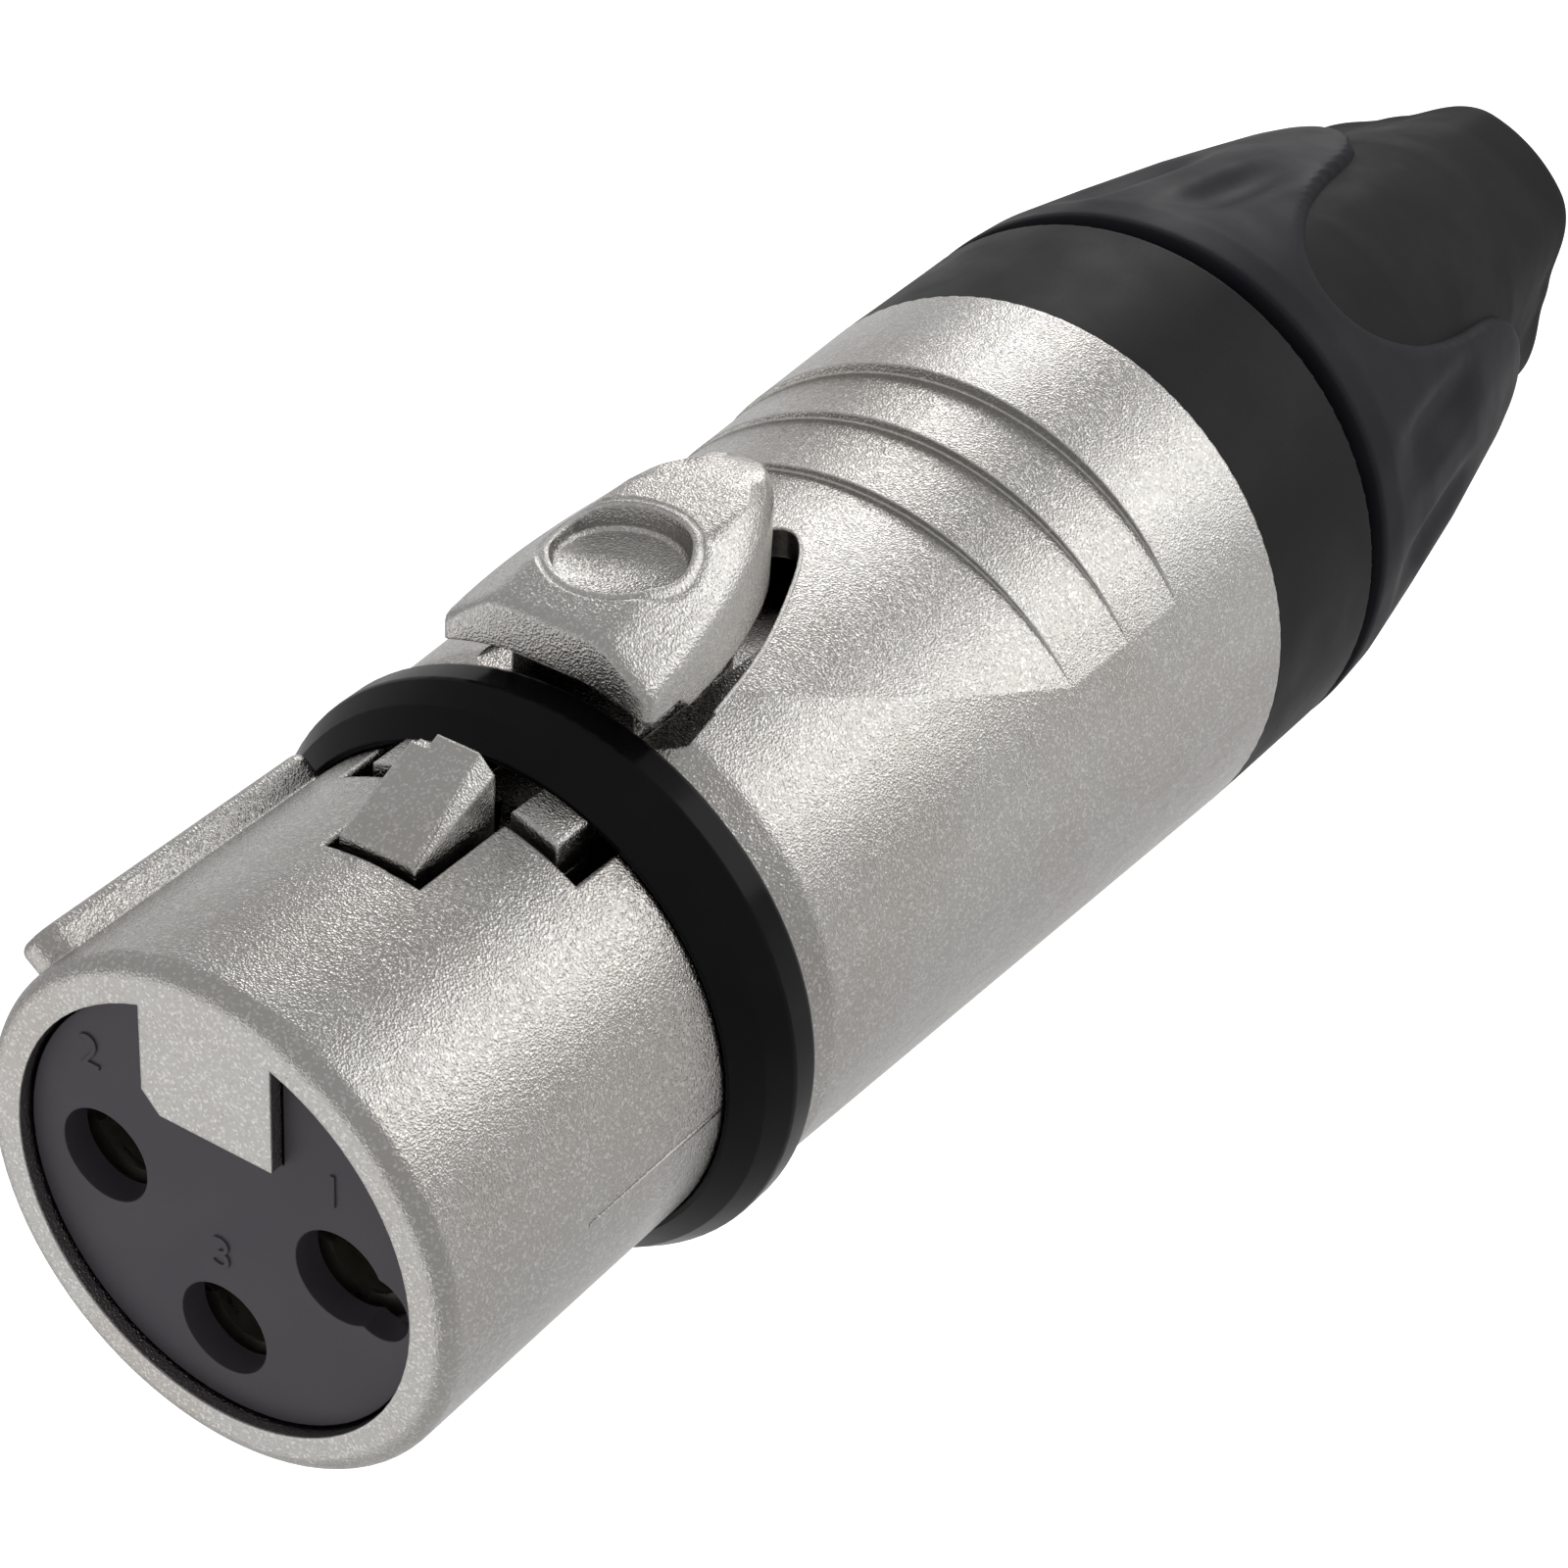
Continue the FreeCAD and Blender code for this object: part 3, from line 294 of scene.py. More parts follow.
def blended(tree, factor, first, second):
    """Colour between two others. Each is a colour property or the output of a node."""
    node = tree.nodes.new("ShaderNodeMix")
    node.data_type = "RGBA"
    tree.links.new(factor, node.inputs["Factor"])
    for socket, colour in ((node.inputs[6], first), (node.inputs[7], second)):
        if isinstance(colour, bpy.types.NodeSocket):
            tree.links.new(colour, socket)
        else:
            socket.default_value = (*colour, 1.0)
    return node.outputs[2]


def bumped(tree, height, depth, normal=None):
    """Normal bent by a height pattern of that depth in metres."""
    node = tree.nodes.new("ShaderNodeBump")
    node.inputs["Strength"].default_value = 1.0
    node.inputs["Distance"].default_value = depth
    tree.links.new(height, node.inputs["Height"])
    if normal:
        tree.links.new(normal, node.inputs["Normal"])
    return node.outputs["Normal"]


def rounded_edges(tree, radius):
    """Normal that softens the sharp edges of a solid, and a mask that is 1 on those edges."""
    bevel = tree.nodes.new("ShaderNodeBevel")
    bevel.inputs["Radius"].default_value = radius
    geometry = tree.nodes.new("ShaderNodeNewGeometry")
    dot = tree.nodes.new("ShaderNodeVectorMath")
    dot.operation = "DOT_PRODUCT"
    tree.links.new(bevel.outputs["Normal"], dot.inputs[0])
    tree.links.new(geometry.outputs["Normal"], dot.inputs[1])
    return bevel.outputs["Normal"], ranged(tree, dot.outputs["Value"], 1.0, 0.0, 0.9, 0.998)


# Materials

def satin_casting(name, colour):
    """Satin nickel over a tumbled casting: a sparkling grain, painted glints, brownish clouds, and edges
    lightened, partly worn and partly a painted highlight.
    """
    finish = bpy.context.scene.connector_finish
    material, tree, shader, place = new_surface(name)
    edge_normal, edge = rounded_edges(tree, finish.edge_round)
    clouds = noise(tree, place, finish.cloud_size, 3.0)
    tinted = blended(tree, ranged(tree, clouds, 0.0, 0.8, 0.45, 0.75), colour, finish.nickel_tint)
    # Painted glints: grains lightened at random toward the bright nickel, standing in for the sparkle of
    # light on the grain
    painted_glints = ranged(tree, cell_values(tree, place, finish.speck_size), 0.0, 0.4, 0.7, 0.95)
    glinted = blended(tree, painted_glints, tinted, finish.nickel_edge)
    # Edges lightened toward the bright nickel: partly edge wear, partly a painted highlight
    coloured = blended(tree, ranged(tree, edge, 0.0, 0.7, 0.2, 1.0), glinted, finish.nickel_edge)
    tree.links.new(coloured, shader.inputs["Base Color"])
    shader.inputs["Metallic"].default_value = 1.0
    pits = combined(tree, "MULTIPLY", cells(tree, place, finish.grain_size).outputs["Distance"], 0.5)
    grain = combined(tree, "ADD", noise(tree, place, finish.grain_size, 1.0), pits)
    uneven = noise(tree, place, finish.uneven_size, 2.0)
    rough = ranged(tree, uneven, finish.nickel_rough - 0.04, finish.nickel_rough + 0.05)
    tree.links.new(rough, shader.inputs["Roughness"])
    wavy = bumped(tree, uneven, finish.uneven_depth, edge_normal)
    tree.links.new(bumped(tree, grain, finish.grain_depth, wavy), shader.inputs["Normal"])
    return material


def moulded_plastic(name, colour):
    """Moulded plastic: fine spark-eroded grain, faint clouds and slightly rubbed edges."""
    light, rough, gloss, grain_size, grain_depth, edge_round = PLASTICS[name]
    material, tree, shader, place = new_surface(name)
    edge_normal, edge = rounded_edges(tree, edge_round * MM)
    clouds = noise(tree, place, PLASTIC_CLOUDS, 3.0)
    cloudy = blended(tree, ranged(tree, clouds, 0.0, 0.6), colour, light)
    tree.links.new(blended(tree, ranged(tree, edge, 0.0, 0.5), cloudy, light), shader.inputs["Base Color"])
    tree.links.new(ranged(tree, clouds, rough - 0.05, rough + 0.08), shader.inputs["Roughness"])
    shader.inputs["Specular IOR Level"].default_value = gloss
    grain = noise(tree, place, grain_size * MM, 2.0)
    tree.links.new(bumped(tree, grain, grain_depth * MM, edge_normal), shader.inputs["Normal"])
    return material


def turned_metal(name, colour, rough):
    """Plated metal turned on a lathe, with fine rings along the connector's axis."""
    material, tree, shader, place = new_surface(name)
    mapping = tree.nodes.new("ShaderNodeMapping")
    mapping.inputs["Scale"].default_value = TURNING_STRETCH
    tree.links.new(place, mapping.inputs["Vector"])
    rings = noise(tree, mapping.outputs["Vector"], TURNING_PITCH)
    stains = noise(tree, place, STAIN_SIZE, 3.0)
    dark = [STAIN_SHADE * channel for channel in colour]
    tree.links.new(blended(tree, ranged(tree, stains, 0.0, 0.7), colour, dark), shader.inputs["Base Color"])
    shader.inputs["Metallic"].default_value = 1.0
    tree.links.new(ranged(tree, rings, rough, rough + 0.15), shader.inputs["Roughness"])
    tree.links.new(bumped(tree, rings, TURNING_DEPTH), shader.inputs["Normal"])
    return material


def stage_surface(name, colour, lift):
    """Plain pale surface that stays white behind the object and keeps the object's shadow."""
    material, tree, shader, place = new_surface(name)
    mottle = noise(tree, place, MOTTLE_SIZE)
    pale = [MOTTLE_SHADE * channel for channel in colour]
    tree.links.new(blended(tree, mottle, colour, pale), shader.inputs["Base Color"])
    shader.inputs["Roughness"].default_value = 0.9
    shader.inputs["Specular IOR Level"].default_value = 0.1
    shader.inputs["Emission Color"].default_value = (1.0, 1.0, 1.0, 1.0)
    rays = tree.nodes.new("ShaderNodeLightPath")
    mirrored = combined(tree, "ADD", rays.outputs["Is Glossy Ray"], rays.outputs["Is Transmission Ray"])
    seen = combined(tree, "ADD", rays.outputs["Is Camera Ray"],
                    combined(tree, "MULTIPLY", mirrored, MIRRORED_SHARE))
    tree.links.new(combined(tree, "MULTIPLY", seen, lift), shader.inputs["Emission Strength"])
    return material


# Meshes

def solid_copy(node):
    """Closed copy of a CAD node, with its loose triangles merged and its flat faces whole."""
    shape = bmesh.new()
    shape.from_mesh(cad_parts[node].data)
    bmesh.ops.remove_doubles(shape, verts=shape.verts, dist=MERGE_DISTANCE)
    bmesh.ops.dissolve_limit(shape, angle_limit=FLAT_ANGLE, verts=shape.verts, edges=shape.edges)
    return shape


def new_piece(shape, name, material, body):
    """Object made from a finished bmesh, which rides on a body."""
    mesh = bpy.data.meshes.new(name)
    shape.to_mesh(mesh)
    shape.free()
    if "custom_normal" in mesh.attributes:
        mesh.attributes.remove(mesh.attributes["custom_normal"])
    mesh.shade_smooth()
    mesh.set_sharp_from_angle(angle=SHARP_ANGLE)
    mesh.materials.clear()
    mesh.materials.append(material)
    piece = bpy.data.objects.new(name, mesh)
    bpy.context.scene.collection.objects.link(piece)
    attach(piece, body)
    return piece


def dress(node, material):
    """Gives a CAD node its material in every slot."""
    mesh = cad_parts[node].data
    if not mesh.materials:
        mesh.materials.append(material)
    for index in range(len(mesh.materials)):
        mesh.materials[index] = material


def cut_off(shape, low_x, high_x, height):
    """Takes away what a shape has above a height in millimetres, between two places along its axis."""
    for end in (low_x, high_x):
        bmesh.ops.bisect_plane(shape, geom=(*shape.verts, *shape.edges, *shape.faces), dist=MERGE_DISTANCE,
                               plane_co=(end * MM, 0, 0), plane_no=(1, 0, 0))
    faces = [face for face in shape.faces if low_x * MM < face.calc_center_median().x < high_x * MM]
    edges = {edge for face in faces for edge in face.edges}
    verts = {vert for face in faces for vert in face.verts}
    bmesh.ops.bisect_plane(shape, geom=(*verts, *edges, *faces), dist=MERGE_DISTANCE,
                           plane_co=(0, 0, height * MM), plane_no=(0, 0, 1), clear_outer=True)
    bmesh.ops.holes_fill(shape, edges=[edge for edge in shape.edges if edge.is_boundary])


def merge_into(shape, part):
    """Adds a finished part's faces to a shape and frees the part."""
    mesh = bpy.data.meshes.new("part")
    part.to_mesh(mesh)
    part.free()
    shape.from_mesh(mesh)
    bpy.data.meshes.remove(mesh)


# Thumb cap, in millimetres

def cap_half_width(share):
    """Half the cap's width at a share of its length."""
    return CAP_HALF_WIDTH * (1 - share ** CAP_FULLNESS) ** CAP_BLUNTNESS


def cap_outline():
    """Points round the cap from the middle of its front edge, with their outward directions."""
    front_half = CAP_HALF_WIDTH - CAP_CORNER
    side = [(CAP_FRONT, front_half * step / FRONT_STEPS) for step in range(FRONT_STEPS)]
    for step in range(CORNER_STEPS + 1):
        turn = math.radians(90 * step / CORNER_STEPS)
        side.append((CAP_FRONT + CAP_CORNER * (1 - math.cos(turn)), front_half + CAP_CORNER * math.sin(turn)))
    first = CAP_CORNER / CAP_LENGTH
    for step in range(1, SIDE_STEPS):
        share = 1 - (1 - first) * (1 - step / SIDE_STEPS) ** 2
        side.append((CAP_FRONT + CAP_LENGTH * share, cap_half_width(share)))
    tip = [(CAP_FRONT + CAP_LENGTH, 0.0)]
    points = [Vector(point) for point in side + tip + [(x, -y) for x, y in reversed(side[1:])]]
    before = points[-1:] + points[:-1]
    after = points[1:] + points[:1]
    outward = [(ahead - behind).normalized().orthogonal() for behind, ahead in zip(before, after)]
    return list(zip(points, outward))


def crest_height(place):
    """Height of the cap's flat crest at a place behind its front edge."""
    rise = CREST_FRONT_DROP * max(0.0, 1 - place / CREST_RISE_LENGTH) ** 2
    fall = CREST_REAR_DROP * (max(0.0, place - CREST_FALL_START) / (CAP_LENGTH - CREST_FALL_START)) ** 2
    return CAP_TOP - rise - fall


def facet_foot(place):
    """Height of the side facets' lower edge."""
    return FACET_FRONT_FOOT + FACET_RISE * place - FACET_CURVE * place ** 2


def roof(x, y):
    """Height of the cap's roof: a flat crest between two side facets, softly creased where they meet."""
    place = min(max(x - CAP_FRONT, 0.0), CAP_LENGTH)
    half = max(cap_half_width(place / CAP_LENGTH), TIP_HALF_WIDTH)
    crest = min(CREST_HALF_WIDTH, CREST_SHARE * half)
    ramp = (abs(y) - crest) / (half - crest)
    fall = 0.5 * (ramp + math.sqrt(ramp ** 2 + CREASE_SOFTNESS))
    return crest_height(place) - (crest_height(place) - facet_foot(place)) * min(fall, FACET_LIMIT)


def dish_point(outer, radius, height=None, sink=0.0):
    """Point at a radius round the dish toward an outline point, on the roof unless a height is given."""
    x, y = DISH_CENTRE + radius * (outer[0] - DISH_CENTRE).normalized()
    return Vector((x, y, roof(x, y) - sink if height is None else height)) * MM


def roof_point(outer, share):
    """Point on the roof at a share of the way from the dish's rim to the roof's rounded edge."""
    start = dish_point(outer, DISH_RADIUS + DISH_RIM) / MM
    x, y = start.xy.lerp(outer[0] - CAP_ROUND * outer[1], share)
    return Vector((x, y, roof(x, y))) * MM


def edge_point(outer, inset, sink):
    """Point inside the outline, a little below the roof."""
    x, y = outer[0] - inset * outer[1]
    return Vector((x, y, roof(x, y) - sink)) * MM


def wall_point(outer, share):
    """Point of the cap's underside below the outline, at a share of its way out from the dish."""
    x, y = DISH_CENTRE.lerp(outer[0], share)
    height = ARCH_CENTRE + math.sqrt(ARCH_RADIUS ** 2 - y ** 2) if x < ARCH_END else CAP_UNDERSIDE
    return Vector((x, y, height)) * MM


def cap_rings(outline):
    """The cap's rings of points, from the dish over the roof and down the wall to the underside."""
    for radius, rise in DISH_RINGS:
        yield [dish_point(outer, radius, DISH_FLOOR + rise) for outer in outline]
    for outside, sink in RIM_RINGS:
        yield [dish_point(outer, DISH_RADIUS + outside, sink=sink) for outer in outline]
    for share in ROOF_SHARES:
        yield [roof_point(outer, share) for outer in outline]
    for inset, sink in EDGE_RINGS:
        yield [edge_point(outer, inset * CAP_ROUND, sink) for outer in outline]
    for share in FOOT_SHARES:
        yield [wall_point(outer, share) for outer in outline]


# Bushing head and boot, in millimetres

def radius_at(table, x):
    """Radius at a place along the axis, on straight lines between a table's places."""
    for (first, start), (last, end) in zip(table, table[1:]):
        if x <= last:
            share = max(0.0, (x - first) / (last - first))
            return start + (end - start) * share
    return table[-1][1]


def softened(value, width):
    """0 below minus width and 1 above width, with a smooth rise between them."""
    share = min(max((value / width + 1) / 2, 0.0), 1.0)
    return share * share * (3 - 2 * share)


def around(x, turn):
    """Distances along the surface from the nearest scoop's and the nearest finger's middle line."""
    third = 2 * math.pi / 3
    radius = radius_at(HEAD_RADII, x)
    from_scoop = (turn - SCOOP_TURN + third / 2) % third - third / 2
    from_finger = (turn - SCOOP_TURN) % third - third / 2
    return radius * from_scoop, radius * from_finger


def inside_finger(x, turn):
    """How far a place lies inside a finger or the head's web, and outside a scoop and the tips' ends."""
    scoop, finger = around(x, turn)
    along = min(0.0, x - SCOOP_MIDDLE) / SCOOP_LENGTH
    oval = (math.hypot(along, scoop / SCOOP_WIDTH) - 1) * SCOOP_WIDTH
    tip = FINGER_TIP - TIP_FALL * min(abs(finger) / FINGER_HALF_WIDTH, TIP_SPREAD) ** 3 - x
    return (oval + tip - math.hypot(oval - tip, FINGER_ROUND)) / 2


def boot_radius(x, turn):
    """The boot's outside: a sleeve with a pad in each scoop, and a rounded rear edge."""
    scoop = around(x, turn)[0]
    pad = 1 - softened(abs(scoop) - PAD_EDGE, PAD_FADE)
    sleeve = radius_at(SLEEVE_RADII, x)
    radius = sleeve + pad * (radius_at(PAD_RADII, x) - sleeve)
    into_round = max(0.0, x - BOOT_REAR + BOOT_ROUND) / BOOT_ROUND
    return radius - BOOT_ROUND * (1 - math.sqrt(1 - min(into_round, 1.0) ** 2))


def head_radius(x, turn):
    """The head's outside: rounded front edge, web and dimpled fingers, sunk into the boot elsewhere."""
    radius = radius_at(HEAD_RADII, x)
    into_edge = max(0.0, HEAD_ROUND - (x - HEAD_FRONT)) / HEAD_ROUND
    radius -= HEAD_ROUND * (1 - math.sqrt(1 - into_edge ** 2))
    finger = around(x, turn)[1]
    for degrees in DIMPLE_TURNS:
        across = (finger - math.radians(degrees) * radius) / DIMPLE_WIDTH
        along = (x - DIMPLE_MIDDLE) / DIMPLE_LENGTH
        radius -= DIMPLE_DEPTH * math.exp(-across ** 4 - DIMPLE_ENDS * abs(along) ** 3 - across ** 2)
    sunk = boot_radius(x, turn) - FINGER_SUNK
    return sunk + (radius - sunk) * softened(inside_finger(x, turn), FINGER_FADE)


def thread_radius(x, turn):
    """Outside of the threaded spigot: one rounded helix, which runs out at both its ends."""
    phase = (x / THREAD_PITCH - turn / (2 * math.pi)) % 1.0
    runout = min(1.0, (x - THREAD_FRONT) / THREAD_PITCH, (THREAD_RUNOUT_END - x) / THREAD_PITCH)
    return THREAD_RADIUS - THREAD_DEPTH * max(runout, 0.0) * (0.5 - 0.5 * math.cos(2 * math.pi * phase))


def swept(inner, skins):
    """Closed shell spun round the axis, from an inner profile and skins that vary with place and turn."""
    shape = bmesh.new()
    skin = shape.verts.layers.int.new("skin")
    chain = []
    for number, (start, end, radius) in enumerate(skins, 1):
        steps = round((end - start) / GRIP_STEP)
        for step in range(steps + 1):
            x = start + (end - start) * step / steps
            vert = shape.verts.new((x, 0.0, radius(x, 0.0)))
            vert[skin] = number
            chain.append(vert)
    chain += [shape.verts.new((x, 0.0, radius)) for x, radius in reversed(inner)]
    edges = [shape.edges.new((first, second)) for first, second in zip(chain, chain[1:] + chain[:1])]
    bmesh.ops.spin(shape, geom=(*chain, *edges), axis=(1, 0, 0), cent=(0, 0, 0), angle=2 * math.pi,
                   steps=GRIP_SIDES, use_merge=True)
    for vert in shape.verts:
        if vert[skin]:
            turn = math.atan2(vert.co.y, vert.co.z)
            radius = skins[vert[skin] - 1][2](vert.co.x, turn)
            vert.co = (vert.co.x, radius * math.sin(turn), radius * math.cos(turn))
    bmesh.ops.scale(shape, vec=(MM, MM, MM), verts=shape.verts)
    bmesh.ops.recalc_face_normals(shape, faces=shape.faces)
    return shape


# Settings

class FinishSettings(bpy.types.PropertyGroup):
    nickel: bpy.props.FloatVectorProperty(
        name="Nickel", description="Colour of the housing's satin nickel",
        subtype="COLOR", default=(0.42, 0.41, 0.39))
    latch_nickel: bpy.props.FloatVectorProperty(
        name="Latch nickel", description="Colour of the latch's nickel",
        subtype="COLOR", default=(0.44, 0.43, 0.41))
    nickel_tint: bpy.props.FloatVectorProperty(
        name="Nickel tint", description="Brownish colour of the clouds in the nickel",
        subtype="COLOR", default=(0.38, 0.345, 0.32))
    # Bright nickel for the lightened edges, partly wear and partly painted highlight, and for the painted
    # glints
    nickel_edge: bpy.props.FloatVectorProperty(
        name="Nickel edge", description="Colour of the nickel on worn edges",
        subtype="COLOR", default=(0.80, 0.79, 0.77))
    nickel_rough: bpy.props.FloatProperty(
        name="Nickel roughness", description="Mean roughness of the nickel", default=0.19)
    cloud_size: bpy.props.FloatProperty(
        name="Cloud size", description="Size of the brownish clouds", unit="LENGTH", default=7 * MM)
    grain_size: bpy.props.FloatProperty(
        name="Grain size", description="Size of the casting's fine grain", unit="LENGTH", default=0.07 * MM)
    grain_depth: bpy.props.FloatProperty(
        name="Grain depth", description="Depth of the fine grain", unit="LENGTH", default=0.02 * MM)
    # Size of the painted glints: grains lightened at random in the nickel's colour
    speck_size: bpy.props.FloatProperty(
        name="Speck size", description="Size of the bright specks in the nickel",
        unit="LENGTH", default=0.07 * MM)
    uneven_size: bpy.props.FloatProperty(
        name="Unevenness size", description="Size of the tumbled unevenness", unit="LENGTH", default=1.1 * MM)
    uneven_depth: bpy.props.FloatProperty(
        name="Unevenness depth", description="Depth of the tumbled unevenness",
        unit="LENGTH", default=0.004 * MM)
    edge_round: bpy.props.FloatProperty(
        name="Edge round", description="Radius of the softened edges of castings",
        unit="LENGTH", default=0.12 * MM)
    gloss_black: bpy.props.FloatVectorProperty(
        name="Gloss black", description="Colour of the ring", subtype="COLOR", default=(0.004, 0.004, 0.005))
    insert_grey: bpy.props.FloatVectorProperty(
        name="Insert grey", description="Colour of the insert",
        subtype="COLOR", default=(0.046, 0.041, 0.050))
    collar_black: bpy.props.FloatVectorProperty(
        name="Collar black", description="Colour of the collar",
        subtype="COLOR", default=(0.010, 0.010, 0.010))
    bushing_black: bpy.props.FloatVectorProperty(
        name="Bushing black", description="Colour of the bushing",
        subtype="COLOR", default=(0.012, 0.0115, 0.015))
    boot_black: bpy.props.FloatVectorProperty(
        name="Boot black", description="Colour of the boot", subtype="COLOR", default=(0.012, 0.0105, 0.011))


class DetailSettings(bpy.types.PropertyGroup):
    number_height: bpy.props.FloatProperty(
        name="Number height", description="Height of the numbers by the holes",
        unit="LENGTH", default=1.5 * MM)
    number_relief: bpy.props.FloatProperty(
        name="Number relief", description="How far the numbers stand out", unit="LENGTH", default=0.05 * MM)
    seam_width: bpy.props.FloatProperty(
        name="Seam width", description="Width of the parting line on the barrel",
        unit="LENGTH", default=0.14 * MM)
    lip_width: bpy.props.FloatProperty(
        name="Lip width", description="Width of the lip round the latch's window",
        unit="LENGTH", default=0.14 * MM)
    seam_height: bpy.props.FloatProperty(
        name="Seam height", description="Height of the parting line", unit="LENGTH", default=0.03 * MM)


class StudioSettings(bpy.types.PropertyGroup):
    floor_colour: bpy.props.FloatVectorProperty(
        name="Floor", description="Colour of the floor", subtype="COLOR", default=(0.74, 0.74, 0.74))
    floor_lift: bpy.props.FloatProperty(
        name="Floor lift", description="Light that the floor adds to itself in the picture", default=0.9)
    floor_depth: bpy.props.FloatProperty(
        name="Floor depth", description="How far the floor lies below the axis", unit="LENGTH", default=0.14)
    world_light: bpy.props.FloatProperty(
        name="World", description="Strength of the even light from all round", default=0.56)
    key_power: bpy.props.FloatProperty(
        name="Key", description="Power of the large light beside the cable end", unit="POWER", default=0.48)
    card_power: bpy.props.FloatProperty(
        name="Cards", description="Power of the dim lights low at both sides", unit="POWER", default=0.11)
    front_power: bpy.props.FloatProperty(
        name="Front", description="Power of the dim light under the mating end", unit="POWER", default=0.075)
    top_power: bpy.props.FloatProperty(
        name="Top", description="Power of the light over the cable end", unit="POWER", default=0.095)


# Operators

class CONNECTOR_OT_metal(bpy.types.Operator):
    """Dress the housing in satin nickel, and the springs and contacts in plated metal"""
    bl_idname = "connector.metal"
    bl_label = "Finish metal"

    def execute(self, context):
        finish = context.scene.connector_finish
        dress("housing", satin_casting("satin_nickel", finish.nickel))
        for number in (1, 2, 3):
            dress("contact_%d" % number, turned_metal("contact_metal_%d" % number, *CONTACT_METAL))
        dress("earth_clip", turned_metal("clip_steel", *CLIP_STEEL))
        dress("latch_spring", turned_metal("spring_steel", *SPRING_STEEL))
        return {"FINISHED"}


class CONNECTOR_OT_plastic(bpy.types.Operator):
    """Dress the insert, ring, collar, bushing, clamp and boot in their plastics"""
    bl_idname = "connector.plastic"
    bl_label = "Finish plastic"

    def execute(self, context):
        finish = context.scene.connector_finish
        insert = moulded_plastic("insert_plastic", finish.insert_grey)
        dress("insert_front", insert)
        dress("insert_back", insert)
        dress("front_ring", moulded_plastic("ring_plastic", finish.gloss_black))
        dress("collar_ring", moulded_plastic("collar_plastic", finish.collar_black))
        dress("bushing", moulded_plastic("bushing_plastic", finish.bushing_black))
        dress("chuck", moulded_plastic("clamp_plastic", CLAMP_BLACK))
        dress("boot", moulded_plastic("boot_rubber", finish.boot_black))
        return {"FINISHED"}


